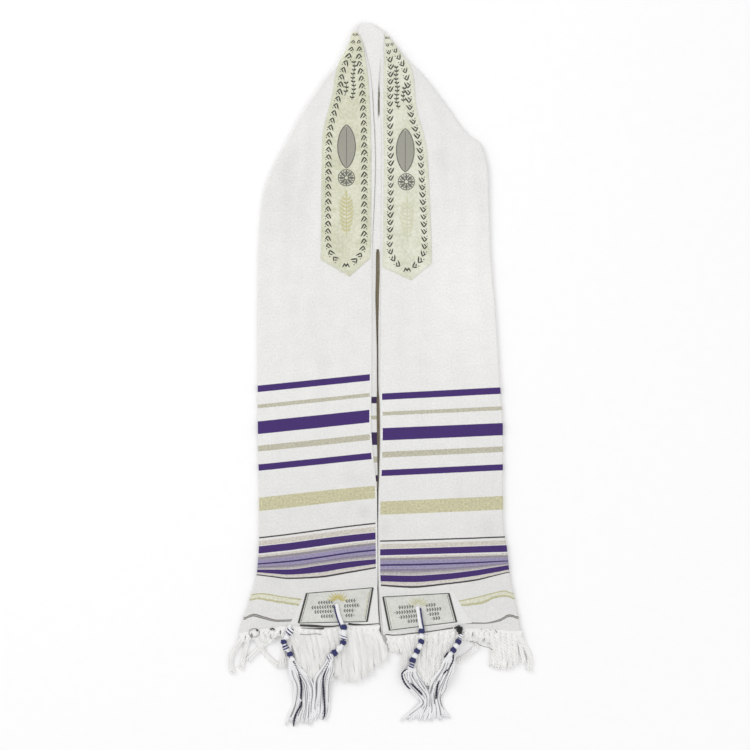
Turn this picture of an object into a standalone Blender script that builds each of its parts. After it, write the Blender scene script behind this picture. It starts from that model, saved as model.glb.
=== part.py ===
"""A striped prayer shawl, folded lengthwise, doubled at the neck and laid flat.

The shawl is one long cloth. Here it is folded in three along its length and doubled at the
neck, so that two legs lie side by side with the inside of the back neck between them. Each leg
is a front layer of cloth over a flat stack of folded layers. A two-ended neckband is sewn along
the inner edges, a square of satin on each front corner, a knotted fringe along each hem, and a
wound and knotted corner tassel hangs from each of the four corners.

Tables and sizes are in millimetres. "down" is the distance below the neck fold, x runs to the
right from the middle of the whole, and z is the height above the surface the shawl lies on.
"""
import math
from collections import namedtuple

import bmesh
import bpy
from mathutils import Vector

MM = 0.001

# ---------------------------------------------------------------- driving sizes
NECK_Y = 537.5          # how far the neck fold lies above the middle of the whole
HEM_DOWN = 924.0        # half the length of the cloth, neck fold to hem
CLOTH = 1.2             # wall of one layer of cloth
SEAM = 0.3              # gap kept between pieces that touch
BAND_WALL = 1.0         # wall of the neckband and of the corner patches
LOWEST_FOLD = 1.4       # height of the lowest layer's rounded edge
ROLL_FOOT = 2.3         # height at which the rolled front layer turns back under
NECK_RECESS = 1.5       # how far the folded layers drop under the back neck
TUCK = 8.0              # how far that drop runs in under each front
WEDGE_END = 348.0       # where the inside of the back neck stops showing
HEM_FLARE = 837.0       # below here the crosswise lines bend to follow the hem
FOLDED_START = 9.0      # the folded layers start just inside the neck fold
FRONT_CLEAR = 3.0       # from this far above a front, the back neck covers the whole width
SLOT_DEPTH = 1.7        # how far the rolled front's slot runs on past its turned-in edge
UNDER_HEM = 3.0         # how far the folded layers stop short of the front hem
STRIP_DEPTH = 4.0       # heading strip that the fringe is knotted into
STRIP_GAP = 0.6         # the strip's gap to the hem, whose line it follows in shorter steps
FLAT_STEPS = 8          # equal parts of a front layer from its inner edge to its rolled fold
FOLDED_PARTS = (1, 2, 4, 6)     # those of them that the folded layers follow
ROLL_POINTS = 11        # corners of the folded layers' outer edge, before those parts
FLOOR_GAP = 0.5         # clearance under loose strands
SWELL_HEIGHT = 0.9      # soft lengthwise folds of the fronts, below the neckband
SWELL_START = 400.0
SWELL_LENGTH = 450.0
NECK_SHARES = (0.0, 0.08, 0.16, 0.5, 0.84, 0.92, 1.0)     # points across the neck fold
BAND_SHARES = (0.0, 0.2, 0.42, 0.58, 0.8, 1.0)            # points across the neckband
BAND_POINT_LENGTH = 12.0    # the band's last straight row lies this far above its corners

EdgePoint = namedtuple("EdgePoint", "inward height")
OUTER_EDGE = [          # the lowest folded layer's rounded edge, in from the leg's outline
    EdgePoint(1.6, 0.0),
    EdgePoint(0.9, 0.5),
    EdgePoint(0.9, LOWEST_FOLD - 0.4),
    EdgePoint(1.6, LOWEST_FOLD),
]
SLIT_EDGE = [           # two rounded layers with a groove between them, in from the slit
    EdgePoint(0.0, 3.1),
    EdgePoint(0.8, 2.75),
    EdgePoint(1.6, 2.55),
    EdgePoint(0.8, 2.35),
    EdgePoint(0.0, 2.0),
    EdgePoint(0.0, 0.5),
    EdgePoint(0.7, 0.0),
]

FOLDED_TOP = [          # (down, height of the folded layers): thicker where they gather
    (0, 8.5),
    (60, 8.5),
    (200, 6.5),
    (360, 5.2),
    (HEM_DOWN, 5.2),
]

LegRow = namedtuple("LegRow", "down outer inner")
LEFT_ROWS = [
    LegRow(0, -30.6, -30.6),
    LegRow(2, -34.4, -30.6),
    LegRow(6, -39.9, -30.6),
    LegRow(12, -42.5, -30.6),
    LegRow(20, -45.1, -30.6),
    LegRow(32, -48.2, -26.8),
    LegRow(47, -55.1, -22.9),
    LegRow(60, -65.0, -19.9),
    LegRow(83, -84.9, -15.9),
    LegRow(104, -99.5, -14.1),
    LegRow(150, -128.5, -11.6),
    LegRow(178, -143.2, -10.1),
    LegRow(199, -154.8, -9.5),
    LegRow(223, -166.8, -9.5),
    LegRow(263, -180.5, -10.7),
    LegRow(324, -186.7, -11.8),
    LegRow(370, -188.6, -14.4),
    LegRow(454, -189.0, -16.1),
    LegRow(546, -189.0, -17.6),
    LegRow(612, -188.8, -17.6),
    LegRow(661, -188.2, -15.3),
    LegRow(708, -186.7, -8.4),
    LegRow(786, -186.7, -7.3),
    LegRow(837, -189.7, -6.1),
    LegRow(860, -193.5, -6.1),
    LegRow(875, -198.9, -6.1),
    LegRow(898, -205.8, -4.3),
    LegRow(924, -218.0, -1.5),
]
RIGHT_ROWS = [
    LegRow(0, -15.3, 4.9),
    LegRow(2, -11.5, 4.9),
    LegRow(6, -3.4, 4.9),
    LegRow(12, 4.0, 4.9),
    LegRow(20, 9.9, 4.9),
    LegRow(32, 21.4, 4.6),
    LegRow(47, 33.7, 3.8),
    LegRow(60, 44.4, 3.1),
    LegRow(75, 60.4, 1.5),
    LegRow(95, 76.5, 0.3),
    LegRow(136, 107.1, 0.0),
    LegRow(158, 122.4, 0.8),
    LegRow(178, 140.8, 1.2),
    LegRow(197, 157.6, 1.5),
    LegRow(223, 163.7, 1.5),
    LegRow(263, 165.2, 0.8),
    LegRow(332, 166.8, 0.5),
    LegRow(370, 169.1, -0.6),
    LegRow(454, 176.0, -1.5),
    LegRow(562, 183.0, -1.1),
    LegRow(623, 186.7, -0.6),
    LegRow(745, 186.7, -0.9),
    LegRow(783, 189.3, -1.2),
    LegRow(803, 192.8, -1.5),
    LegRow(837, 196.3, -2.6),
    LegRow(871, 202.6, -2.3),
    LegRow(901, 208.8, 0.0),
    LegRow(924, 213.5, 2.8),
]

SlitRow = namedtuple("SlitRow", "down middle width")
SLIT_ROWS = [           # the line between the two stacks of folded layers
    SlitRow(0, -13.8, 0.3),
    SlitRow(47, -9.5, 0.3),
    SlitRow(83, -7.3, 0.3),
    SlitRow(178, -4.6, 0.3),
    SlitRow(348, -5.2, 0.3),
    SlitRow(351, -4.6, 5.5),
    SlitRow(386, -4.6, 5.5),
    SlitRow(454, -4.9, 4.3),
    SlitRow(577, -4.3, 3.2),
    SlitRow(776, -4.1, 2.4),
    SlitRow(837, -4.6, 2.0),
    SlitRow(875, -4.3, 2.0),
    SlitRow(901, -2.1, 2.0),
    SlitRow(927, 0.6, 2.0),
]

HemRow = namedtuple("HemRow", "share dip")
LEFT_HEM = [            # how far the hem hangs below HEM_DOWN, inner edge 0 to rolled fold 1
    HemRow(0.0, -1.5),
    HemRow(0.125, -2.8),
    HemRow(0.25, -2.8),
    HemRow(0.375, 0.2),
    HemRow(0.5, -0.2),
    HemRow(0.625, -1.2),
    HemRow(0.75, 0.7),
    HemRow(0.875, 3.2),
    HemRow(1.0, 11.0),
]
RIGHT_HEM = [
    HemRow(0.0, 12.5),
    HemRow(0.125, 13.0),
    HemRow(0.25, 8.2),
    HemRow(0.375, 4.3),
    HemRow(0.5, 1.7),
    HemRow(0.625, 2.1),
    HemRow(0.75, 3.0),
    HemRow(0.875, 3.0),
    HemRow(1.0, 7.5),
]

Leg = namedtuple("Leg", "name out rows hem front_top")
LEFT = Leg("left", -1, LEFT_ROWS, LEFT_HEM, 20.0)
RIGHT = Leg("right", 1, RIGHT_ROWS, RIGHT_HEM, 30.0)

ROW_DOWNS = [           # crosswise sections, closer together where the outline turns
    4.5, 9, 14, 17.5, 19.6, 20, 27.6, 29.6, 30, 36, 44, 58, 74, 95, 120, 150, 180, 200, 223, 263,
    324, 348, 351, 454, 546, 612, 661, 708, 786, 837, 860, 880, 902, 924,
]

BandRow = namedtuple("BandRow", "down outer inner")
LEFT_BAND = [
    BandRow(21.5, -45.4, -30.9),
    BandRow(29, -47.4, -28.4),
    BandRow(41, -52.8, -25.9),
    BandRow(54, -60.4, -24.2),
    BandRow(66, -65.8, -22.3),
    BandRow(83, -70.4, -19.9),
    BandRow(106, -73.4, -18.4),
    BandRow(127, -78.8, -17.3),
    BandRow(149, -84.6, -16.4),
    BandRow(171, -89.0, -15.8),
    BandRow(200, -90.3, -15.3),
    BandRow(271, -90.9, -15.3),
    BandRow(330, -91.5, -15.6),
    BandRow(360, -92.1, -16.8),
]
RIGHT_BAND = [
    BandRow(31.5, 18.5, 5.8),
    BandRow(35, 21.4, 5.8),
    BandRow(50, 32.9, 5.5),
    BandRow(69, 45.9, 4.6),
    BandRow(90, 50.5, 4.0),
    BandRow(113, 52.0, 3.7),
    BandRow(135, 55.1, 3.5),
    BandRow(153, 59.7, 3.5),
    BandRow(171, 65.2, 3.8),
    BandRow(193, 69.6, 4.3),
    BandRow(223, 71.9, 4.6),
    BandRow(271, 74.2, 4.3),
    BandRow(324, 76.5, 3.4),
    BandRow(369, 77.7, 2.1),
]

BandPoint = namedtuple("BandPoint", "across x down")
LEFT_BAND_POINT = [     # the pointed end, from the outer corner to the inner one
    BandPoint(0.0, -92.1, 361.8),
    BandPoint(0.58, -48.0, 387.5),
    BandPoint(1.0, -16.9, 359.6),
]
RIGHT_BAND_POINT = [
    BandPoint(0.0, 77.9, 367.2),
    BandPoint(0.42, 46.4, 393.5),
    BandPoint(1.0, 1.9, 373.3),
]

Corner = namedtuple("Corner", "x down")
LEFT_PATCH = [          # upper outer, upper inner, lower outer, lower inner
    Corner(-114.0, 872.6),
    Corner(-12.2, 864.0),
    Corner(-126.4, 918.0),
    Corner(-21.1, 915.6),
]
RIGHT_PATCH = [
    Corner(104.0, 872.6),
    Corner(2.8, 878.2),
    Corner(115.8, 916.2),
    Corner(12.9, 929.2),
]

FringeRow = namedtuple("FringeRow", "root sideways length bow low")
# low: 1 where the strand comes down to the surface, 0 where it lies on the fringe beneath
LEFT_FRINGE = [
    FringeRow(-211.5, -16.6, 54.0, -8.0, 1),
    FringeRow(-203.0, -16.5, 52.0, 7.0, 1),
    FringeRow(-191.0, -13.0, 50.0, 7.0, 1),
    FringeRow(-181.5, 19.0, 56.0, -3.0, 1),
    FringeRow(-171.5, 19.0, 66.0, 3.0, 1),
    FringeRow(-161.5, 18.5, 62.0, 3.5, 1),
    FringeRow(-151.5, 18.5, 58.0, 3.5, 1),
    FringeRow(-141.5, 17.0, 60.0, 3.0, 0),
    FringeRow(-132.5, 16.0, 66.0, 3.5, 0),
    FringeRow(-123.5, 15.0, 58.0, 3.0, 0),
    FringeRow(-114.5, 14.0, 64.0, 2.0, 0),
    FringeRow(-105.5, 13.0, 70.0, 1.5, 0),
    FringeRow(-96.5, 12.0, 66.0, 2.0, 0),
    FringeRow(-87.5, 10.5, 74.0, 1.5, 0),
    FringeRow(-78.5, 9.5, 70.0, 1.2, 0),
    FringeRow(-69.5, 9.0, 78.0, 0.6, 0),
    FringeRow(-60.5, 8.5, 76.0, 0.2, 0),
    FringeRow(-51.5, 8.0, 80.0, 1.0, 0),
    FringeRow(-42.5, 8.0, 78.0, 2.0, 0),
    FringeRow(-33.5, 8.5, 72.0, 3.0, 0),
    FringeRow(-24.5, 9.5, 66.0, 3.5, 0),
    FringeRow(-15.5, 10.5, 54.0, 4.0, 0),
    FringeRow(-7.0, 11.5, 46.0, 3.5, 0),
]
RIGHT_FRINGE = [
    FringeRow(12.5, 2.5, 20.0, 1.0, 1),
    FringeRow(21.5, 2.0, 22.0, 1.0, 1),
    FringeRow(30.5, 6.0, 46.0, 3.0, 0),
    FringeRow(39.5, 3.5, 54.0, 3.0, 0),
    FringeRow(48.5, 1.5, 62.0, 2.0, 0),
    FringeRow(57.5, 0.0, 66.0, 1.0, 0),
    FringeRow(66.5, -2.0, 72.0, 1.0, 0),
    FringeRow(75.5, -3.0, 76.0, -1.0, 0),
    FringeRow(84.5, -4.5, 74.0, -1.5, 0),
    FringeRow(93.5, -6.0, 70.0, -2.0, 0),
    FringeRow(102.5, -7.5, 62.0, -2.0, 0),
    FringeRow(111.5, -8.5, 52.0, -2.5, 0),
    FringeRow(137.5, -17.0, 50.0, 4.0, 1),
    FringeRow(148.0, -15.0, 44.0, 6.0, 1),
    FringeRow(158.5, 6.5, 52.0, -2.0, 1),
    FringeRow(168.5, 5.5, 58.0, -1.5, 1),
    FringeRow(178.5, 5.0, 62.0, 1.0, 1),
    FringeRow(188.5, 4.5, 60.0, 1.5, 1),
    FringeRow(198.5, 4.5, 54.0, 1.5, 1),
    FringeRow(208.0, 22.6, 56.0, 5.0, 1),
]
LEFT_UNDER_FRINGE = [
    FringeRow(-126.0, 14.0, 56.0, 2.0, 1),
    FringeRow(-115.5, 13.0, 60.0, 2.0, 1),
    FringeRow(-105.0, 12.0, 62.0, 1.0, 1),
    FringeRow(-94.5, 11.0, 64.0, 2.0, 1),
    FringeRow(-84.0, 9.5, 66.0, 0.0, 1),
    FringeRow(-73.5, 8.5, 70.0, 1.5, 1),
    FringeRow(-63.0, 8.0, 72.0, -1.5, 1),
    FringeRow(-52.5, 8.0, 74.0, 1.0, 1),
    FringeRow(-42.0, 8.5, 70.0, 2.0, 1),
    FringeRow(-31.5, 9.0, 64.0, 3.0, 1),
]
RIGHT_UNDER_FRINGE = [
    FringeRow(36.0, 4.0, 44.0, 2.0, 1),
    FringeRow(46.5, 2.0, 52.0, 2.0, 1),
    FringeRow(57.0, 0.0, 58.0, 1.0, 1),
    FringeRow(67.5, -2.0, 66.0, 1.0, 1),
    FringeRow(78.0, -3.5, 70.0, -1.0, 1),
    FringeRow(88.5, -5.0, 66.0, -1.5, 1),
    FringeRow(99.0, -7.0, 58.0, -2.0, 1),
]
STRAND_HALF_WIDTH = 3.0
STRAND_HALF_HEIGHT = 1.5
ROOT_HALF_WIDTH = 2.6
UPPER_STRAND_Z = 5.3    # height of front strands that lie on the fringe beneath
STRAND_STEPS = 5
STRAND_DROP = 14.0      # a strand comes down from its strip over this length
UNDER_STRIP_LOW = 0.6   # foot and top of the heading strip on the hem underneath
UNDER_STRIP_HIGH = 2.6

HeadRow = namedtuple("HeadRow", "down x z knot")    # knot: 1 at a wound knot, 0 along the cord
FanRow = namedtuple("FanRow", "down left right z")
Tassel = namedtuple("Tassel", "name head fan")
TASSELS = [
    Tassel(
        "tzitzit_left_front",
        [
            HeadRow(888.9, -67.9, 10.0, 0),
            HeadRow(901.2, -65.0, 10.0, 0),
            HeadRow(917.0, -60.3, 10.4, 0),
            HeadRow(927.5, -58.0, 11.5, 1),
            HeadRow(947.0, -58.0, 11.2, 1),
            HeadRow(963.0, -70.5, 11.2, 1),
            HeadRow(975.0, -76.0, 10.6, 0),
        ],
        [
            FanRow(985.0, -88.0, -72.0, 9.4),
            FanRow(997.0, -99.0, -77.0, 8.7),
            FanRow(1010.0, -106.3, -81.1, 7.8),
            FanRow(1030.0, -107.1, -81.9, 2.2),
            FanRow(1050.0, -107.6, -82.4, 1.8),
            FanRow(1067.0, -110.0, -84.2, 1.8),
        ],
    ),
    Tassel(
        "tzitzit_left_back",
        [
            HeadRow(929.5, -140.6, 8.8, 0),
            HeadRow(937.0, -144.0, 11.0, 1),
            HeadRow(952.5, -146.5, 11.0, 1),
            HeadRow(966.0, -139.0, 11.0, 1),
            HeadRow(976.5, -137.0, 10.6, 0),
        ],
        [
            FanRow(985.0, -139.5, -123.5, 9.4),
            FanRow(997.0, -136.5, -113.5, 8.7),
            FanRow(1010.0, -134.2, -108.2, 7.8),
            FanRow(1030.0, -133.9, -108.8, 2.2),
            FanRow(1054.0, -137.7, -110.0, 1.8),
            FanRow(1075.0, -148.4, -112.0, 1.8),
        ],
    ),
    Tassel(
        "tzitzit_right_front",
        [
            HeadRow(892.8, 58.6, 10.0, 0),
            HeadRow(905.0, 60.9, 10.0, 0),
            HeadRow(918.0, 62.2, 10.4, 0),
            HeadRow(929.0, 62.0, 11.5, 1),
            HeadRow(945.0, 61.7, 11.2, 1),
            HeadRow(959.0, 55.8, 11.2, 1),
            HeadRow(973.5, 48.6, 11.2, 1),
            HeadRow(984.0, 46.0, 10.6, 0),
        ],
        [
            FanRow(993.0, 37.0, 55.0, 10.2),
            FanRow(1004.0, 37.0, 62.0, 9.4),
            FanRow(1016.0, 49.0, 76.0, 8.6),
            FanRow(1030.0, 64.3, 91.0, 5.2),
            FanRow(1044.0, 48.0, 71.0, 4.4),
            FanRow(1056.0, 38.0, 67.0, 2.2),
            FanRow(1068.0, 29.1, 65.0, 1.8),
        ],
    ),
    Tassel(
        "tzitzit_right_back",
        [
            HeadRow(931.0, 120.6, 8.8, 0),
            HeadRow(939.0, 120.6, 11.0, 1),
            HeadRow(953.5, 115.0, 11.0, 1),
            HeadRow(965.0, 110.5, 10.6, 0),
        ],
        [
            FanRow(975.0, 99.0, 114.0, 9.4),
            FanRow(990.0, 87.5, 107.0, 8.7),
            FanRow(1005.0, 77.5, 98.5, 8.2),
            FanRow(1018.0, 69.5, 93.5, 3.6),
            FanRow(1030.0, 66.6, 92.6, 1.8),
            FanRow(1048.0, 72.0, 97.9, 1.8),
            FanRow(1068.0, 67.5, 107.1, 1.8),
        ],
    ),
]
STRANDS_PER_TASSEL = 8
CORD_HALF = (2.6, 1.6)      # half width and half height of the bare cord
KNOT_HALF = (4.4, 3.1)      # the same at a wound knot
KNOT_REACH = 4.6            # half a knot's length along the cord
RIM_START = 168.0           # the corners round a cord's upper half run from this angle
RIM_SWEEP = 156.0           # over this sweep, and the lower half mirrors them
FAN_HALF_HEIGHT = 1.1
FAN_FILL = 0.42             # a fan strand's half width as a share of the pitch
FAN_MAX_HALF_WIDTH = 1.4


# ---------------------------------------------------------------- reading the tables
def straight(table, key, value, at):
    """Read a table of named columns with straight lines between its rows."""
    rows = sorted(table, key=lambda row: getattr(row, key))
    if at <= getattr(rows[0], key):
        return getattr(rows[0], value)
    for low, high in zip(rows, rows[1:]):
        start, stop = getattr(low, key), getattr(high, key)
        if at <= stop:
            share = (at - start) / (stop - start)
            return getattr(low, value) * (1 - share) + getattr(high, value) * share
    return getattr(rows[-1], value)


def folded_top(down):
    """Height of the folded layers at a distance below the neck."""
    for (start, low), (stop, high) in zip(FOLDED_TOP, FOLDED_TOP[1:]):
        if down <= stop:
            return low + (high - low) * (down - start) / (stop - start)
    return FOLDED_TOP[-1][1]


def ease(value):
    """A smooth step from 0 to 1."""
    value = min(1.0, max(0.0, value))
    return value * value * (3 - 2 * value)


Section = namedtuple("Section", "down outer inner width top mid radius centre slit tuck")


def section(leg, down):
    """The sizes of one crosswise section of a leg; widths run in from the outer edge."""
    outer = straight(leg.rows, "down", "outer", down)
    inner = straight(leg.rows, "down", "inner", down)
    middle = straight(SLIT_ROWS, "down", "middle", down)
    gap = straight(SLIT_ROWS, "down", "width", down)
    slit = middle + leg.out * gap / 2
    top = folded_top(down)
    if down < leg.front_top - 0.2:
        top -= NECK_RECESS
    mid = top + SEAM + CLOTH / 2
    radius = (mid - ROLL_FOOT) / 2
    width = abs(outer - inner)
    tuck = min(TUCK, 0.4 * width)
    return Section(down, outer, inner, width, top, mid, radius, radius + CLOTH / 2, slit, tuck)


def hem_dip(leg, cut, x):
    """How far the hem hangs below HEM_DOWN at x."""
    flat = cut.width - cut.centre
    share = leg.out * (x - cut.inner) / flat
    return straight(leg.hem, "share", "dip", min(1.0, max(0.0, share)))


def place(leg, cut, x, z):
    """A point of a section in metres, bent to the hem near the foot."""
    bend = ease((cut.down - HEM_FLARE) / (HEM_DOWN - HEM_FLARE))
    dip = hem_dip(leg, cut, x) * bend if bend else 0.0
    return Vector((x, NECK_Y - cut.down - dip, z)) * MM


def lengthwise_swell(down, across):
    """Soft lengthwise folds of the front layer between the neckband and the corner patch."""
    along = min(1.0, max(0.0, (down - SWELL_START) / SWELL_LENGTH))
    return SWELL_HEIGHT * math.sin(math.pi * along) ** 2 * math.sin(2.5 * math.pi * across) ** 2


def on_front(leg, down, x, lift):
    """A point over the flat of a front layer at x, moved out from the cloth's middle by lift."""
    cut = section(leg, down)
    inward = max((cut.outer - x) * leg.out, cut.centre)
    return place(leg, cut, cut.outer - leg.out * inward, cut.mid + lift)


# ---------------------------------------------------------------- building blocks
def material(name, colour, roughness):
    """A cloth-like Principled material."""
    made = bpy.data.materials.new(name)
    made.use_nodes = True
    shader = made.node_tree.nodes["Principled BSDF"]
    shader.inputs["Base Color"].default_value = (*colour, 1.0)
    shader.inputs["Roughness"].default_value = roughness
    shader.inputs["Metallic"].default_value = 0.0
    return made


def add_object(name, bm, finish):
    """Turn a bmesh into a named object with its finish."""
    bmesh.ops.recalc_face_normals(bm, faces=bm.faces)
    if bm.calc_volume(signed=True) < 0:
        bmesh.ops.reverse_faces(bm, faces=bm.faces)
    mesh = bpy.data.meshes.new(name)
    bm.to_mesh(mesh)
    bm.free()
    mesh.materials.append(finish)
    mesh.shade_smooth()
    mesh.set_sharp_from_angle(angle=math.radians(50))
    made = bpy.data.objects.new(name, mesh)
    bpy.context.scene.collection.objects.link(made)
    return made


def cloth_wall(name, rows, wall, finish):
    """A wall of cloth through rows of points that lie in the middle of its thickness."""
    bm = bmesh.new()
    grid = [[bm.verts.new(point) for point in row] for row in rows]
    for upper, lower in zip(grid, grid[1:]):
        for index in range(len(upper) - 1):
            bm.faces.new((upper[index], upper[index + 1], lower[index + 1], lower[index]))
    made = add_object(name, bm, finish)
    thicken = made.modifiers.new("Cloth thickness", "SOLIDIFY")
    thicken.thickness = wall * MM
    thicken.offset = 0.0
    return made


def solid_between(name, rings, caps, finish):
    """A closed solid through rings of points; caps lists the corners of each end face."""
    bm = bmesh.new()
    loops = [[bm.verts.new(point) for point in ring] for ring in rings]
    count = len(loops[0])
    for first, second in zip(loops, loops[1:]):
        for index in range(count):
            after = (index + 1) % count
            bm.faces.new((first[index], first[after], second[after], second[index]))
    for cap in caps:
        bm.faces.new([loops[0][index] for index in cap])
        bm.faces.new([loops[-1][index] for index in reversed(cap)])
    return add_object(name, bm, finish)


def box_ring(bm, centre, side, half_height):
    """Four corners round a strand's middle: upper left, upper right, lower right, lower left."""
    up = Vector((0, 0, half_height))
    corners = (centre - side + up, centre + side + up, centre + side - up, centre - side - up)
    return [bm.verts.new(corner * MM) for corner in corners]


def add_strand(bm, root, rings):
    """Carry a strand of four sides from its root corners through the rings to a blunt end."""
    before = root
    for ring in rings:
        for index in range(4):
            after = (index + 1) % 4
            bm.faces.new((before[index], before[after], ring[after], ring[index]))
        before = ring
    bm.faces.new(before)


# ---------------------------------------------------------------- the pieces of cloth
def leg_rows(start, stop):
    """Section distances from start to stop, with the ends themselves."""
    return [start] + [down for down in ROW_DOWNS if start + 0.2 < down < stop - 0.2] + [stop]


def front_layer(leg, finish):
    """The layer that faces up: flat from the inner edge, then rolled round the outer fold."""
    roll = [math.radians(angle) for angle in (45, 90, 135, 180)]
    rows = []
    for down in leg_rows(leg.front_top, HEM_DOWN):
        cut = section(leg, down)
        row = []
        for step in range(FLAT_STEPS + 1):
            share = step / FLAT_STEPS
            inward = cut.width + (cut.centre - cut.width) * share
            z = cut.mid + lengthwise_swell(down, share)
            row.append(place(leg, cut, cut.outer - leg.out * inward, z))
        for angle in roll:
            x = cut.outer - leg.out * (cut.centre - cut.radius * math.sin(angle))
            z = cut.mid - cut.radius + cut.radius * math.cos(angle)
            row.append(place(leg, cut, x, z))
        rows.append(row)
    return cloth_wall(f"shawl_{leg.name}_front", rows, CLOTH, finish)


def folded_layers(leg, finish):
    """The layers under the front: one rounded solid whose edges show the layers it holds."""
    rings = []
    for down in leg_rows(FOLDED_START, HEM_DOWN - UNDER_HEM):
        cut = section(leg, down)
        wrap = cut.radius - CLOTH / 2 - 2 * SEAM
        lowered = NECK_RECESS if leg.front_top - 0.2 < down <= WEDGE_END else 0.0
        slit = (cut.outer - cut.slit) * leg.out
        top = cut.top - lowered
        ledge = cut.width - cut.tuck
        flat_end = ledge - 1.5
        if down < leg.front_top - FRONT_CLEAR:
            ledge = slit * 0.8
            flat_end = slit * 0.6
        if down > WEDGE_END:
            flat_end = cut.width - (cut.width - cut.centre) / FLAT_STEPS
        steps = [cut.centre + (flat_end - cut.centre) * part / (FLAT_STEPS - 1)
                 for part in FOLDED_PARTS]
        slot = cut.centre + SLOT_DEPTH
        if down < leg.front_top - FRONT_CLEAR:
            slot = (cut.centre + steps[0]) / 2
        shoulder = cut.centre + min(0.8, (steps[0] - cut.centre) / 2)
        pivot = cut.mid - cut.radius
        diagonal = wrap * math.sqrt(0.5)
        profile = list(OUTER_EDGE) + [      # (distance in from the outer edge, height)
            (slot, LOWEST_FOLD),
            (slot, pivot - wrap),
            (cut.centre, pivot - wrap),
            (cut.centre - diagonal, pivot - diagonal),
            (cut.centre - wrap, pivot),
            (cut.centre - diagonal, pivot + diagonal),
            (shoulder, cut.top),
        ] + [(inward, cut.top) for inward in steps] + [
            (flat_end, cut.top),
            (ledge, top),
            (slit - 0.7, top),
            (slit, top - 0.5),
        ] + [(slit - point.inward, point.height) for point in SLIT_EDGE]
        profile += [(inward, 0.0) for inward in reversed(steps)]
        rings.append([place(leg, cut, cut.outer - leg.out * w, z) for w, z in profile])
    count = len(profile)
    first = len(profile) - len(steps)
    caps = [list(range(ROLL_POINTS + 1)) + [count - 1]]
    for part in range(len(steps) - 1):
        low = count - 1 - part
        caps.append([ROLL_POINTS + part, ROLL_POINTS + part + 1, low - 1, low])
    caps.append(list(range(ROLL_POINTS + len(steps) - 1, first + 1)))
    return solid_between(f"shawl_{leg.name}_folded_layers", rings, caps, finish)


def neck_edge(leg, down):
    """Points of one side of the back neck's section, from its edge inward, as (x, z)."""
    cut = section(leg, down)
    flat = folded_top(down) - NECK_RECESS + SEAM + CLOTH / 2
    if down > leg.front_top - 2.6:
        tucked = down > leg.front_top - 0.5
        edge = cut.inner + leg.out * (cut.tuck - 2.0) if tucked else cut.outer - leg.out
        return [(edge - leg.out * step, flat) for step in (0.0, 0.8, 1.6)]
    reach = cut.radius
    pivot = cut.mid - cut.radius
    points = []
    for angle in (math.radians(70), math.radians(35), 0.0):
        inward = cut.centre - reach * math.sin(angle)
        points.append((cut.outer - leg.out * inward, pivot + reach * math.cos(angle)))
    return points


def back_neck(finish):
    """The inside of the back neck: rolled over the neck fold, then flat between the fronts."""
    top = folded_top(0) - NECK_RECESS + SEAM + CLOTH / 2
    radius = (top - ROLL_FOOT) / 2
    rows = []
    for angle in (180, 135, 90, 45):
        turn = math.radians(angle)
        down = radius + CLOTH / 2 - radius * math.sin(turn)
        z = top - radius + radius * math.cos(turn)
        left = straight(LEFT_ROWS, "down", "outer", down)
        right = straight(RIGHT_ROWS, "down", "outer", down)
        cut = section(LEFT, down)
        rows.append([place(LEFT, cut, left + (right - left) * s, z) for s in NECK_SHARES])
    for down in leg_rows(ROW_DOWNS[0], WEDGE_END):
        cut = section(LEFT, down)
        left = neck_edge(LEFT, down)
        right = neck_edge(RIGHT, down)
        middle = ((left[-1][0] + right[-1][0]) / 2, (left[-1][1] + right[-1][1]) / 2)
        points = left + [middle] + right[::-1]
        rows.append([place(LEFT, cut, x, z) for x, z in points])
    return cloth_wall("shawl_back_neck", rows, CLOTH, finish)


def neckband(leg, table, point_rows, finish):
    """One end of the neckband, laid on the front layer and cut to a point."""
    lift = CLOTH / 2 + SEAM + BAND_WALL / 2
    rows = []
    for down in leg_rows(table[0].down, table[-1].down - BAND_POINT_LENGTH):
        cut = section(leg, down)
        flat_edge = leg.out * cut.outer - cut.centre
        outer = leg.out * min(leg.out * straight(table, "down", "outer", down), flat_edge)
        inner = straight(table, "down", "inner", down)
        rows.append([on_front(leg, down, outer + (inner - outer) * s, lift)
                     for s in BAND_SHARES])
    rows.append([
        on_front(
            leg,
            straight(point_rows, "across", "down", share),
            straight(point_rows, "across", "x", share),
            lift,
        )
        for share in BAND_SHARES
    ])
    return cloth_wall(f"neckband_{leg.name}", rows, BAND_WALL, finish)


def corner_patch(leg, corners, finish):
    """A square of satin laid on the front layer beside the hem."""
    upper_outer, upper_inner, lower_outer, lower_inner = corners
    lift = CLOTH / 2 + SEAM + BAND_WALL / 2
    along, across = 4, 8
    rows = []
    for step in range(along + 1):
        v = step / along
        row = []
        for column in range(across + 1):
            u = column / across
            x_top = upper_outer.x + (upper_inner.x - upper_outer.x) * u
            x_low = lower_outer.x + (lower_inner.x - lower_outer.x) * u
            d_top = upper_outer.down + (upper_inner.down - upper_outer.down) * u
            d_low = lower_outer.down + (lower_inner.down - lower_outer.down) * u
            x = x_top + (x_low - x_top) * v
            down = d_top + (d_low - d_top) * v
            cut = section(leg, down)
            row.append(Vector((x, NECK_Y - down, cut.mid + lift)) * MM)
        rows.append(row)
    return cloth_wall(f"corner_patch_{leg.name}", rows, BAND_WALL, finish)


# ---------------------------------------------------------------- fringe and tassels
def hem_line(leg, x):
    """How far down the front hem lies at x."""
    return HEM_DOWN + hem_dip(leg, section(leg, HEM_DOWN), x)


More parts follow.
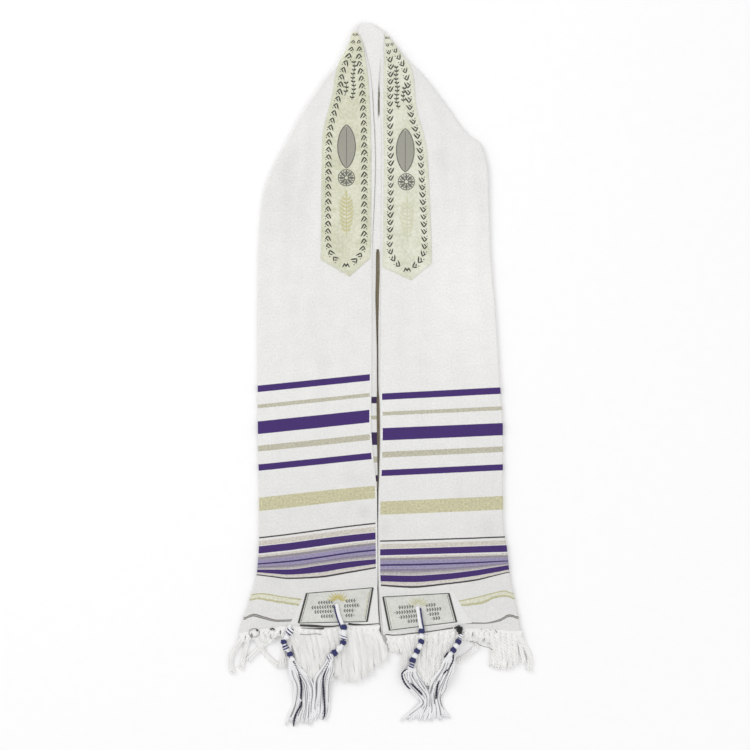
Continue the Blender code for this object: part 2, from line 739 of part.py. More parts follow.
def fringe_rings(bm, leg, row, base_down, root_z):
    """Rings of one fringe strand, from just past the heading strip to its end."""
    rest = FLOOR_GAP + STRAND_HALF_HEIGHT if row.low else UPPER_STRAND_Z
    centres = []
    for step in range(1, STRAND_STEPS + 1):
        t = step / STRAND_STEPS
        x = row.root + row.sideways * t + row.bow * math.sin(math.pi * t)
        y = NECK_Y - base_down - row.length * t
        z = rest + (root_z - rest) * max(0.0, 1 - row.length * t / STRAND_DROP)
        centres.append(Vector((x, y, z)))
    rings = []
    start = Vector((row.root, NECK_Y - base_down, root_z))
    for index, centre in enumerate(centres):
        before = centres[index - 1] if index else start
        after = centres[min(index + 1, len(centres) - 1)]
        along = (after - before).normalized()
        side = Vector((-along.y, along.x, 0.0)).normalized()
        taper = 0.62 if index == len(centres) - 1 else 1.0
        rings.append(box_ring(bm, centre, side * STRAND_HALF_WIDTH * taper,
                              STRAND_HALF_HEIGHT * taper))
    return rings


def hem_fringe(name, leg, table, ends, setback, low_z, high_z, finish):
    """A narrow heading strip along the hem with the knotted strands that grow out of it."""
    stations = [ends[0]]
    for row in table:
        stations += [row.root - ROOT_HALF_WIDTH, row.root + ROOT_HALF_WIDTH]
    stations.append(ends[1])
    bm = bmesh.new()
    posts = []
    for x in stations:
        upper = hem_line(leg, x) - setback + STRIP_GAP
        lower = upper + STRIP_DEPTH
        corners = ((upper, high_z), (upper, low_z), (lower, high_z), (lower, low_z))
        posts.append([bm.verts.new(Vector((x, NECK_Y - d, z)) * MM) for d, z in corners])
    for index, (near, far) in enumerate(zip(posts, posts[1:])):
        bm.faces.new((near[0], far[0], far[2], near[2]))
        bm.faces.new((near[1], near[3], far[3], far[1]))
        bm.faces.new((near[0], near[1], far[1], far[0]))
        if index % 2 == 0:
            bm.faces.new((near[2], far[2], far[3], near[3]))
            continue
        row = table[index // 2]
        base = hem_line(leg, row.root) - setback + STRIP_GAP + STRIP_DEPTH
        rings = fringe_rings(bm, leg, row, base, (low_z + high_z) / 2)
        add_strand(bm, [near[2], far[2], far[3], near[3]], rings)
    for post in (posts[0], posts[-1]):
        bm.faces.new((post[0], post[2], post[3], post[1]))
    return add_object(name, bm, finish)


def head_rings(bm, rows, per_row):
    """Rings of a tassel's cord and knots: upper points left to right, then lower ones back."""
    stops = []
    for index, row in enumerate(rows):
        point = Vector((row.x, NECK_Y - row.down, row.z))
        before = rows[max(0, index - 1)]
        after = rows[min(index + 1, len(rows) - 1)]
        along = Vector((after.x - before.x, before.down - after.down, 0.0)).normalized()
        if not row.knot:
            stops.append((point, along, CORD_HALF))
            continue
        for reach, half in ((-KNOT_REACH, CORD_HALF), (0.0, KNOT_HALF), (KNOT_REACH, CORD_HALF)):
            stops.append((point + along * reach, along, half))
    rings = []
    for point, along, (half_width, half_height) in stops:
        side = Vector((-along.y, along.x, 0.0))
        ring = []
        for sign in (1, -1):
            for step in range(per_row):
                angle = math.radians(RIM_START - RIM_SWEEP * step / (per_row - 1))
                offset = side * half_width * math.cos(angle)
                lift = Vector((0, 0, sign * half_height * math.sin(angle)))
                ring.append(bm.verts.new((point + offset + lift) * MM))
        rings.append(ring)
    return rings


def tassel(plan, finish):
    """A wound and knotted corner tassel whose loose strands grow out of its last knot."""
    bm = bmesh.new()
    per_row = STRANDS_PER_TASSEL + 1
    rings = head_rings(bm, plan.head, per_row)
    order = list(range(per_row)) + [per_row + step for step in reversed(range(per_row))]
    loops = [[ring[index] for index in order] for ring in rings]
    for first, second in zip(loops, loops[1:]):
        for index in range(len(order)):
            after = (index + 1) % len(order)
            bm.faces.new((first[index], first[after], second[after], second[index]))
    bm.faces.new(loops[0])
    last = rings[-1]
    for strand in range(STRANDS_PER_TASSEL):
        root = [last[strand], last[strand + 1], last[per_row + strand + 1],
                last[per_row + strand]]
        rings_out = []
        for row in plan.fan:
            pitch = (row.right - row.left) / STRANDS_PER_TASSEL
            x = row.left + pitch * (strand + 0.5)
            half = min(FAN_MAX_HALF_WIDTH, FAN_FILL * pitch)
            centre = Vector((x, NECK_Y - row.down, row.z))
            rings_out.append(box_ring(bm, centre, Vector((half, 0, 0)), FAN_HALF_HEIGHT))
        add_strand(bm, root, rings_out)
    return add_object(plan.name, bm, finish)


# ---------------------------------------------------------------- the whole shawl
def build():
    for leftover in list(bpy.data.objects):
        bpy.data.objects.remove(leftover)

    cloth = material("white shawl cloth", (0.86, 0.86, 0.85), 0.6)
    band_cloth = material("sage neckband satin", (0.69, 0.72, 0.55), 0.45)
    patch_cloth = material("sage patch satin", (0.66, 0.68, 0.58), 0.45)
    yarn = material("white fringe yarn", (0.85, 0.85, 0.84), 0.75)
    cord = material("white and blue cord", (0.62, 0.64, 0.78), 0.7)

    back_neck(cloth)
    for leg in (LEFT, RIGHT):
        folded_layers(leg, cloth)
        front_layer(leg, cloth)
    neckband(LEFT, LEFT_BAND, LEFT_BAND_POINT, band_cloth)
    neckband(RIGHT, RIGHT_BAND, RIGHT_BAND_POINT, band_cloth)
    corner_patch(LEFT, LEFT_PATCH, patch_cloth)
    corner_patch(RIGHT, RIGHT_PATCH, patch_cloth)

    front_low = folded_top(HEM_DOWN) + SEAM
    front_high = front_low + CLOTH
    hem_fringe("hem_fringe_left", LEFT, LEFT_FRINGE, (-215.5, -3.0), 0.0,
               front_low, front_high, yarn)
    hem_fringe("hem_fringe_right", RIGHT, RIGHT_FRINGE, (5.0, 211.5), 0.0,
               front_low, front_high, yarn)
    hem_fringe("under_fringe_left", LEFT, LEFT_UNDER_FRINGE, (-130.0, -27.0), UNDER_HEM - 1,
               UNDER_STRIP_LOW, UNDER_STRIP_HIGH, yarn)
    hem_fringe("under_fringe_right", RIGHT, RIGHT_UNDER_FRINGE, (32.0, 103.0), UNDER_HEM - 1,
               UNDER_STRIP_LOW, UNDER_STRIP_HIGH, yarn)
    for plan in TASSELS:
        tassel(plan, cord)


build()
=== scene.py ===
# %% [markdown]
# # A folded tallit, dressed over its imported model
#
# A tallit is one long white cloth with woven stripes, a band at the neck, a patch and a knotted
# tassel at each corner, and a fringe along both hems. This one is folded in three along its
# length, doubled at the neck and laid flat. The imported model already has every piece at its
# place and size, so nothing here is moved: each cloth gets a finer shell over its solid, with
# creases, weave and thread work that would be too fine for the solids.

import bisect
import math
import random
from collections import namedtuple

import bpy
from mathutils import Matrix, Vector


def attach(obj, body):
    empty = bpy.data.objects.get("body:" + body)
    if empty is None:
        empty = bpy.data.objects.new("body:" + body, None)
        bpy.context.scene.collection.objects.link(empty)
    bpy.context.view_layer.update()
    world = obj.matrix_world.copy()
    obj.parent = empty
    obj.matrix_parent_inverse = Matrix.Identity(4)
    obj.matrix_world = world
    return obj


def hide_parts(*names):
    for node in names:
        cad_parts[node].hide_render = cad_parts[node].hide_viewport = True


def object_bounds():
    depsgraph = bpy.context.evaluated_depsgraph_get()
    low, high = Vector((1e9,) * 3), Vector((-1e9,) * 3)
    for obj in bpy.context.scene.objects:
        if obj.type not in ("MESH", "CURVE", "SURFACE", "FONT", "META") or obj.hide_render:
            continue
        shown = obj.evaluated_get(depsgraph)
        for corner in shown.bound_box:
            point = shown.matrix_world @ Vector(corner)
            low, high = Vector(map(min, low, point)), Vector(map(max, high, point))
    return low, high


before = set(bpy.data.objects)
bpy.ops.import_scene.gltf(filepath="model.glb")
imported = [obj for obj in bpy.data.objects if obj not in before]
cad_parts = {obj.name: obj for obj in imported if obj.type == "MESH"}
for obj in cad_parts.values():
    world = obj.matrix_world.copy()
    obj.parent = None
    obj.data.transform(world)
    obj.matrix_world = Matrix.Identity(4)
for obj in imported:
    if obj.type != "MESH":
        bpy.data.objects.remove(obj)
cad_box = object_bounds()
bpy.ops.object.select_all(action="DESELECT")
print("nodes", len(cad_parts), "box", [tuple(round(c, 4) for c in p) for p in cad_box])

# %% [markdown]
# ## One way of measuring
#
# A shawl is easiest to describe by lengths on the cloth, so every table below is in millimetres.
# "down" is the distance below the neck fold, x runs to the right from the middle, and z is the
# height above the surface. A maker would draw each edge through a few measured points with a
# bendy ruler. smooth() does the same: it joins a table's rows with a curve that never swings
# past them, which a plain spline would do at the corners.

# %% Units and smooth tables
MM = 0.001
NECK_Y = cad_box[1].y / MM          # the neck fold is the model's far end


def smooth(xs, ys):
    """A smooth line through two columns' rows that never swings past them."""
    gaps = [after - before for before, after in zip(xs, xs[1:])]
    rises = [(after - before) / gap for before, after, gap in zip(ys, ys[1:], gaps)]
    turns = [rises[0]]
    for before, after in zip(rises, rises[1:]):
        turns.append(2 * before * after / (before + after) if before * after > 0 else 0.0)
    turns.append(rises[-1])

    def read(at):
        if at <= xs[0]:
            return ys[0]
        if at >= xs[-1]:
            return ys[-1]
        index = bisect.bisect_right(xs, at) - 1
        gap = gaps[index]
        t = (at - xs[index]) / gap
        start = (1 + 2 * t) * (1 - t) ** 2 * ys[index] + t * (1 - t) ** 2 * gap * turns[index]
        stop = t * t * (3 - 2 * t) * ys[index + 1] + t * t * (t - 1) * gap * turns[index + 1]
        return start + stop

    return read


def curves(table):
    """A smooth line for each column of a table, read by its first column."""
    first, *columns = zip(*table)
    return [smooth(first, column) for column in columns]


def part_way(start, stop, share):
    """What lies at a share of the way from start to stop."""
    return start + (stop - start) * share


def ease(value):
    """A smooth step from 0 to 1."""
    value = min(1.0, max(0.0, value))
    return value * value * (3 - 2 * value)


def point(x, down, z):
    """A place on the shawl, in metres."""
    return Vector((x, NECK_Y - down, z)) * MM


print("the neck fold is", round(NECK_Y, 1), "mm up")

# %% [markdown]
# ## How each leg lies
#
# Each leg's outline is a table of its outer fold and its inner edge. The woven stripes run
# straight across the cloth, but the cloth lies a little askew and is rumpled near the hem, so a
# second table says how far down each crosswise thread lies at seven places between the inner
# edge and the outer fold. The shell is then shaped by the cloth's own threads, and the stripes
# can be plain straight bands in the cloth's own coordinates.

# %% Outlines of the two legs
LEFT_EDGES = (            # how far down, x of the outer fold, x of the inner edge
    (0, -30.6, -30.6), (2, -34.4, -33.5), (6, -39.9, -37.5), (12, -42.5, -36.5),
    (20, -45.1, -33.2), (32, -48.2, -27.4), (47, -55.1, -22.9), (60, -65.0, -19.9),
    (83, -84.9, -15.9), (104, -99.5, -14.1), (150, -128.5, -11.6), (178, -143.2, -10.1),
    (199, -154.8, -9.5), (223, -166.8, -9.5), (263, -180.5, -10.7), (324, -186.7, -13.2),
    (370, -188.6, -14.2), (454, -189.0, -14.2), (546, -189.0, -14.5), (612, -188.8, -15.3),
    (661, -188.2, -12.2), (696, -187.0, -8.2), (716, -186.7, -6.4), (786, -186.7, -5.7),
    (837, -189.7, -5.2), (860, -193.5, -5.6), (875, -198.9, -6.0), (898, -205.8, -4.3),
    (927, -215.6, -3.5), (941, -219.5, -3.5),
)
RIGHT_EDGES = (
    (0, -15.3, 4.9), (2, -11.5, 4.9), (6, -3.4, 4.9), (12, 4.0, 4.9), (20, 9.9, 4.9),
    (32, 21.4, 4.6), (47, 33.7, 3.8), (60, 44.4, 3.1), (75, 60.4, 1.5), (95, 76.5, 0.3),
    (136, 107.1, 0.0), (158, 122.4, 0.8), (173, 135.8, 1.2), (178, 145.4, 1.2), (184, 152.2, 1.4),
    (197, 157.6, 1.5), (223, 163.7, 1.5), (263, 165.2, 0.8), (332, 166.8, 0.5), (370, 169.1, 0.2),
    (454, 176.0, -0.3), (562, 183.0, -1.3), (623, 186.7, -0.2), (680, 186.7, -1.5),
    (720, 186.7, -3.4), (745, 186.7, -3.8), (783, 189.3, -4.2), (803, 192.8, -4.3),
    (837, 196.3, -4.2), (871, 202.6, -2.8), (901, 208.8, 0.2), (927, 213.9, 2.8),
)
print("rows in the outlines:", len(LEFT_EDGES), len(RIGHT_EDGES))

# %% How far down each crosswise thread lies
SHARES = (0, 0.25, 0.5, 0.75, 0.87, 0.95, 1)      # places across a leg, from the inner edge
LEFT_LAY = (              # a thread's place along the cloth, and how far down it is at each
    (14, 14, 14, 14, 14, 14, 14, 14),
    (555, 537, 541.4, 545.8, 550.2, 552.3, 553.7, 554.6),
    (609, 591.2, 595.7, 600.2, 604.6, 606.8, 608.2, 609.1),
    (675, 657.3, 661.8, 666.3, 670.7, 672.9, 674.3, 675.2),
    (726, 708.5, 712.2, 716.6, 721.6, 724, 725.6, 726.6),
    (786, 766.8, 771.8, 777.6, 783.8, 786.3, 788, 789),
    (799, 780.1, 784.8, 790.2, 796.4, 798.8, 800.4, 801.4),
    (825, 807, 812, 818.8, 824.8, 826.6, 827.8, 828.5),
    (839, 821.8, 826, 832, 837.6, 837.5, 837.4, 837.4),
    (847, 827.8, 834.5, 841.8, 844.6, 842.9, 841.7, 841),
    (852, 833.5, 841.6, 848.6, 850.4, 847.8, 846, 844.9),
    (889, 868, 876.5, 883.2, 878.6, 874.5, 873.2, 875),
    (898, 876.5, 885.6, 893.4, 887.2, 883.6, 881.3, 883.3),
    (914, 895.5, 901.5, 909.6, 912.6, 907, 903.2, 908.2),
    (918, 899, 905, 911.8, 914.9, 909.7, 906, 911.1),
    (922, 904.2, 908.6, 914.4, 917.2, 912.6, 909.2, 914.4),
    (936, 922.5, 921.2, 923.8, 924.7, 927.6, 931, 934.4),
)
RIGHT_LAY = (
    (18, 18, 18, 18, 18, 18, 18, 18),
    (555, 567, 564.6, 562.3, 559.9, 558.7, 558, 557.5),
    (609, 619.7, 617.7, 615.8, 613.8, 612.8, 612.2, 611.8),
    (675, 684.1, 681.9, 679.7, 677.4, 676.3, 675.6, 675.2),
    (726, 732.9, 730.8, 728.6, 726.6, 725.5, 724.8, 724.3),
    (786, 794.4, 793, 791.4, 789.8, 788.9, 788.4, 788),
    (799, 806.2, 804.8, 803.2, 801.6, 800.8, 800.2, 799.9),
    (825, 830.5, 829.8, 828.4, 826.6, 825.4, 824.5, 824),
    (839, 846.7, 847.8, 844.8, 838.9, 834.9, 832.3, 830.6),
    (847, 855, 856.2, 852.7, 846.4, 842.2, 839.4, 837.6),
    (852, 860.8, 863.9, 859.2, 852.8, 847.1, 843.3, 840.9),
    (889, 897, 896.4, 888, 878.2, 872, 869.3, 873.3),
    (898, 906, 902.4, 893.5, 888.6, 879, 877.1, 881.1),
    (914, 920, 918, 914.8, 917.4, 911.8, 904.2, 907.4),
    (918, 925, 922.5, 918, 918.6, 914, 906.7, 909.9),
    (922, 928, 925.2, 920.4, 919.8, 916.4, 909.4, 912.6),
    (936, 936, 932.6, 925.9, 927.2, 928.6, 930, 931.2),
)
Leg = namedtuple("Leg", "name out outer inner lay top")
LEFT = Leg("left", -1, *curves(LEFT_EDGES), curves(LEFT_LAY), LEFT_LAY[0][0])
RIGHT = Leg("right", 1, *curves(RIGHT_EDGES), curves(RIGHT_LAY), RIGHT_LAY[0][0])
HEM_ALONG = LEFT_LAY[-1][0]


def thread_line(leg, along):
    """How far down one crosswise thread lies, as a curve across the leg."""
    return smooth(SHARES, [column(along) for column in leg.lay])


print("the cloth's own length from the neck fold to the hem is", HEM_ALONG, "mm")

# %% [markdown]
# ## Heights and creases
#
# The front layer lies over the folded layers and rolls round the outer fold. They are thicker
# at the neck, where the cloth gathers. A cloth that has been folded, carried and smoothed by
# hand keeps long shallow folds. Each one is listed as a soft ridge, or as a trough where
# its height is negative, and no two are alike. Only upward swells would lift the cloth off the
# layers below, so a trough stays shallower than the gap that the ridges beside it leave.

# %% Heights and creases
folded_top, = curves([(0, 8.5), (60, 8.5), (200, 6.5), (360, 5.2), (930, 5.2)])
SEAM = 0.3                # air between pieces that touch
CLOTH_WALL = 1.2          # the solids' wall
ROLL_LOW = 1.7            # where the rolled front turns back under
STEEPEST = 0.12           # share of the roll's radius past which nothing lies steeper
CREASES = (               # from x and down, to x and down, height, width
    (-62, 95, -100, 330, 1.3, 9), (-112, 130, -128, 300, 0.9, 7), (-150, 205, -152, 520, 1.1, 10),
    (-176, 260, -170, 480, -0.5, 7), (-134, 360, -140, 640, 0.8, 8),
    (-101, 400, -96, 700, 1.2, 12), (-52, 405, -66, 560, 0.8, 9), (-40, 640, -30, 800, -0.6, 10),
    (-160, 560, -163, 770, 0.9, 9), (-118, 720, -110, 840, 0.7, 8), (-30, 690, -60, 742, 0.9, 11),
    (-200, 838, -120, 848, 1.5, 6), (-196, 846, -140, 858, -0.6, 5),
    (-206, 896, -150, 884, 0.9, 7), (-178, 880, -188, 922, 0.9, 6), (-20, 846, -70, 862, 0.8, 8),
    (78, 120, 98, 290, 1.2, 9), (118, 165, 112, 360, 0.8, 8), (139, 200, 150, 470, 1.0, 9),
    (60, 405, 52, 640, 0.9, 11), (101, 380, 108, 600, 1.1, 12), (24, 420, 20, 700, 0.7, 8),
    (158, 500, 164, 720, 0.8, 9), (132, 620, 126, 800, 0.8, 9), (80, 690, 88, 830, 0.7, 8),
    (20, 740, 60, 800, 0.6, 10), (198, 826, 140, 850, 1.5, 6), (200, 838, 150, 861, -0.6, 5),
    (206, 884, 150, 896, 1.0, 7), (168, 872, 176, 921, 0.8, 6), (60, 858, 20, 868, 0.8, 8),
    (192, 896, 200, 926, 0.7, 6),
)
EASY = 60.0               # length over which a crease starts and fades
DEPTH = 1.45              # how deep all the creases are laid
SWELL = 0.35              # height of the slow swell between the creases
CALM_OUT, CALM_IN = 14, 10     # width over which creases start, from the roll and inner edge

# %% How high the front lies
def crease_height(x, down):
    """How far the creases lift the cloth at a place."""
    lift = 0.0
    for from_x, from_down, to_x, to_down, height, width in CREASES:
        run_x, run_down = to_x - from_x, to_down - from_down
        long = math.hypot(run_x, run_down)
        along = ((x - from_x) * run_x + (down - from_down) * run_down) / long
        if -EASY < along < long + EASY:
            off = ((x - from_x) * run_down - (down - from_down) * run_x) / long
            wander = 3.0 * math.sin(along / 23.0 + from_x)
            fade = ease((along + EASY) / (2 * EASY)) * ease((long + EASY - along) / (2 * EASY))
            lift += height * fade * math.exp(-((off + wander) / width) ** 2)
    swell = math.sin(x / 17.0 + 1.1 * math.sin(down / 61.0)) * math.sin(down / 83.0 + x / 41.0)
    return max(0.0, DEPTH * lift + SWELL + SWELL * swell)


def face(down):
    """Height of the front cloth's upper face over flat layers."""
    return folded_top(down) + SEAM + CLOTH_WALL


def roll_radius(down):
    """Radius of the front cloth's outer face where it rolls round the outer fold."""
    return (face(down) - ROLL_LOW) / 2


def front_height(leg, x, down):
    """Height of the front cloth's upper face at a place, on the flat or on the roll."""
    radius = roll_radius(down)
    inward = (leg.outer(down) - x) * leg.out
    if inward < radius:
        reach = max(STEEPEST * radius, inward)
        return face(down) - radius + math.sqrt(radius ** 2 - (radius - reach) ** 2)
    calm = ease((inward - radius) / CALM_OUT)
    calm *= ease(((x - leg.inner(down)) * leg.out + 2) / CALM_IN)
    return face(down) + calm * crease_height(x, down)


print("faces:", [round(face(down), 2) for down in (20, 200, 400, 900)])

# %% [markdown]
# ## The camera, the floor and the light
#
# A folded shawl is shown flat on a white sheet and seen from straight above, so that no part of
# it is foreshortened. The camera hangs three metres up with a long lens, which keeps the edges
# nearly parallel. The light is broad and soft, with a little more from one side, because light
# from straight above would leave the folds without any shading.

# %% Camera
CAMERA_PLACE, LENS, SENSOR = (-0.0092, -0.0011, 3.195), 100, 36
bpy.ops.object.select_all(action="DESELECT")
bpy.ops.object.camera_add(location=CAMERA_PLACE, rotation=(0, 0, 0))
camera = bpy.context.object
camera.data.lens, camera.data.sensor_width, camera.data.clip_end = LENS, SENSOR, 20
bpy.context.scene.camera = camera
print("the view is", round(CAMERA_PLACE[2] * SENSOR / LENS, 3), "m wide on the floor")

# %% Floor
bpy.ops.mesh.primitive_plane_add(size=14, location=(0, 0, -0.0002))
floor = bpy.context.object
floor.name = "floor"
print("the floor is", round(floor.dimensions.x, 1), "m wide")

# %% Light
world = bpy.data.worlds.new("Studio air")
world.use_nodes = True
air = world.node_tree.nodes["Background"].inputs
air["Color"].default_value, air["Strength"].default_value = (1.0, 1.0, 1.0, 1.0), 0.86
bpy.context.scene.world = world
for name, place, size, power in (("Window light", (-1.9, 1.6, 1.9), 1.6, 26.0),
                                 ("Room light", (1.6, -1.4, 2.6), 2.4, 12.0)):
    bpy.ops.object.light_add(type="AREA", location=place)
    light = bpy.context.object
    light.name, light.data.size, light.data.energy = name, size, power
    light.rotation_euler = (-Vector(place)).to_track_quat("-Z", "Y").to_euler()
bpy.context.scene.view_settings.view_transform = "Standard"
print("lights:", [item.name for item in bpy.data.objects if item.type == "LIGHT"])

# %% [markdown]
# ## Finishes
#
# The cloth is a plain weave of white wool, so its stripes are nothing but crosswise threads of
# another colour. That makes the pattern one number wide: the place along the cloth. Each sheet
# therefore carries its own map in metres of cloth, across and along, and one small node group
# lays one stripe over the colour that comes in. The groups are placed one after another, as a
# weaver changes shuttles.

# %% Node helpers
NUMBER, COLOUR, PLACE = "NodeSocketFloat", "NodeSocketColor", "NodeSocketVector"


def feed(tree, socket, value):
    """Give a socket a number, a colour or a place, or link another node's output to it."""
    if isinstance(value, bpy.types.NodeSocket):
        tree.links.new(value, socket)
    else:
        socket.default_value = (*value, 1.0) if socket.type == "RGBA" else value


def node(tree, kind, feeds, **settings):
    """Add a shader node, set its plain properties and feed its sockets."""
    made = tree.nodes.new("ShaderNode" + kind)
    for name, value in settings.items():
        setattr(made, name, value)
    for title, value in feeds.items():
        feed(tree, made.inputs[title], value)
    return made


def maths(tree, operation, *values, clamp=False):
    """The result of a Math node on numbers or on the outputs of other nodes."""
    made = node(tree, "Math", dict(enumerate(values)), operation=operation, use_clamp=clamp)
    return made.outputs[0]


def mix(tree, factor, first, second, kind="RGBA", how="MIX"):
    """Two colours or two numbers mixed. A Mix node has a set of sockets for each kind."""
    at, out = (6, 2) if kind == "RGBA" else (2, 0)
    feeds = {0: factor, at: first, at + 1: second}
    return node(tree, "Mix", feeds, data_type=kind, blend_type=how).outputs[out]


def noise(tree, where, scale, detail=2.0):
    """A soft noise over a map or an object."""
    feeds = {"Vector": where, "Scale": scale, "Detail": detail}
    return node(tree, "TexNoise", feeds).outputs[0]


def new_group(name, takes, gives):
    """A node group with named sockets; returns it with its inner ends."""
    group = bpy.data.node_groups.new(name, "ShaderNodeTree")
    for way, sockets in (("INPUT", takes), ("OUTPUT", gives)):
        for title, kind in sockets.items():
            group.interface.new_socket(title, in_out=way, socket_type=kind)
    given, out = (group.nodes.new("NodeGroup" + end) for end in ("Input", "Output"))
    return group, given.outputs, out.inputs

# %% A woven stripe
STRIPE_EDGE = 1.5         # how fast a stripe's edge takes on the yarn's colour, per millimetre
stripe_group, given, out = new_group(
    "Woven stripe",
    {"Colour": COLOUR, "Roughness": NUMBER, "Along": NUMBER, "Start": NUMBER, "End": NUMBER,
     "Yarn colour": COLOUR, "Yarn roughness": NUMBER},
    {"Colour": COLOUR, "Roughness": NUMBER})
past_start = maths(stripe_group, "SUBTRACT", given["Along"], given["Start"])
before_end = maths(stripe_group, "SUBTRACT", given["End"], given["Along"])
inside = maths(stripe_group, "MINIMUM", past_start, before_end)
soft = maths(stripe_group, "MULTIPLY_ADD", inside, STRIPE_EDGE, 0.5, clamp=True)
for title, yarn, kind in (("Colour", "Yarn colour", "RGBA"),
                          ("Roughness", "Yarn roughness", "FLOAT")):
    feed(stripe_group, out[title], mix(stripe_group, soft, given[title], given[yarn], kind))
print(stripe_group.name, "has", len(stripe_group.nodes), "nodes")

# %% [markdown]
# Up close a plain weave is a chequerboard of small bumps, where each thread passes over and
# under its neighbours. Two sine waves multiplied give just that, and a little noise keeps the
# threads from looking ruled. The same group serves the wool and the satins, each with its own
# thread width.

# %% A plain weave
weave_group, given, out = new_group(
    "Plain weave",
    {"Cloth map": PLACE, "Thread across": NUMBER, "Thread along": NUMBER, "Slub": NUMBER},
    {"Height": NUMBER, "Shade": NUMBER})
axes = node(weave_group, "SeparateXYZ", {0: given["Cloth map"]}).outputs
waves = []
for axis, title in (("X", "Thread across"), ("Y", "Thread along")):
    count = maths(weave_group, "DIVIDE", axes[axis], given[title])
    waves.append(maths(weave_group, "SINE", maths(weave_group, "MULTIPLY", count, math.pi)))
cells = maths(weave_group, "MULTIPLY", *waves)
slubs = maths(weave_group, "MULTIPLY", noise(weave_group, given["Cloth map"], 420.0, 3.0),
              given["Slub"])
fluff = maths(weave_group, "MULTIPLY_ADD", noise(weave_group, given["Cloth map"], 42.0, 5.0),
              0.10, 0.93)
feed(weave_group, out["Height"], maths(weave_group, "MULTIPLY_ADD", cells, 0.5, slubs))
feed(weave_group, out["Shade"], maths(weave_group, "MULTIPLY_ADD", cells, 0.03, fluff))
print(weave_group.name, "has", len(weave_group.nodes), "nodes")

# %% [markdown]
# The cloth's colour carries painted shading. It is painted darker towards the hem, and soft round
# patches of painted shade and painted light stand for the shading of its folds. One more group
# lays such a patch: it fades out over an oval of its own size.

# %% A patch of painted shading
painted_shading_group, given, out = new_group(
    "Painted shading patch",
    {"Cloth map": PLACE, "Middle": PLACE, "Size": PLACE, "Darker": NUMBER, "Shade": NUMBER},
    {"Shade": NUMBER})
away = node(painted_shading_group, "VectorMath", {0: given["Cloth map"], 1: given["Middle"]},
            operation="SUBTRACT")
oval = node(painted_shading_group, "VectorMath", {0: away.outputs[0], 1: given["Size"]},
            operation="DIVIDE")
reach = node(painted_shading_group, "VectorMath", {0: oval.outputs[0]}, operation="LENGTH")
fading = node(painted_shading_group, "MapRange",
              {"Value": reach.outputs["Value"], "To Min": 1.0, "To Max": 0.0},
              interpolation_type="SMOOTHSTEP")
taken = maths(painted_shading_group, "MULTIPLY", fading.outputs["Result"], given["Darker"])
left_over = maths(painted_shading_group, "SUBTRACT", 1.0, taken)
feed(painted_shading_group, out["Shade"], maths(painted_shading_group, "MULTIPLY", left_over, given["Shade"]))
print(painted_shading_group.name, "has", len(painted_shading_group.nodes), "nodes")

# %% A finish with a weave
def tinted(tree, colour, shade):
    """A colour darkened or lightened by a shade that changes over the surface."""
    grey = node(tree, "CombineColor", {0: shade, 1: shade, 2: shade})
    return mix(tree, 1.0, colour, grey.outputs[0], how="MULTIPLY")


def new_finish(name, roughness, sheen=0.0):
    """A material, its tree, its shader's sockets and the coordinates of its piece."""
    finish = bpy.data.materials.new(name)
    finish.use_nodes = True
    tree = finish.node_tree
    shader = tree.nodes["Principled BSDF"].inputs
    for title, value in (("Roughness", roughness), ("Sheen Weight", sheen),
                         ("Sheen Roughness", 0.5), ("Specular IOR Level", 0.3)):
        shader[title].default_value = value
    return finish, tree, shader, node(tree, "TexCoord", {}).outputs


def emboss(tree, shader, height, depth, strength=1.0):
    """Feed a height that changes over the surface to the shader as a bump."""
    bump = node(tree, "Bump", {"Strength": strength, "Distance": depth, "Height": height})
    feed(tree, shader["Normal"], bump.outputs[0])


def weave_into(tree, shader, cloth_map, across, along, depth, slub=0.35):
    """Place the weave group, feed its height to a bump and return its shade."""
    weave = node(tree, "Group", {"Cloth map": cloth_map, "Thread across": across,
                                 "Thread along": along, "Slub": slub}, node_tree=weave_group)
    emboss(tree, shader, weave.outputs["Height"], depth, 0.8)
    return weave.outputs["Shade"]
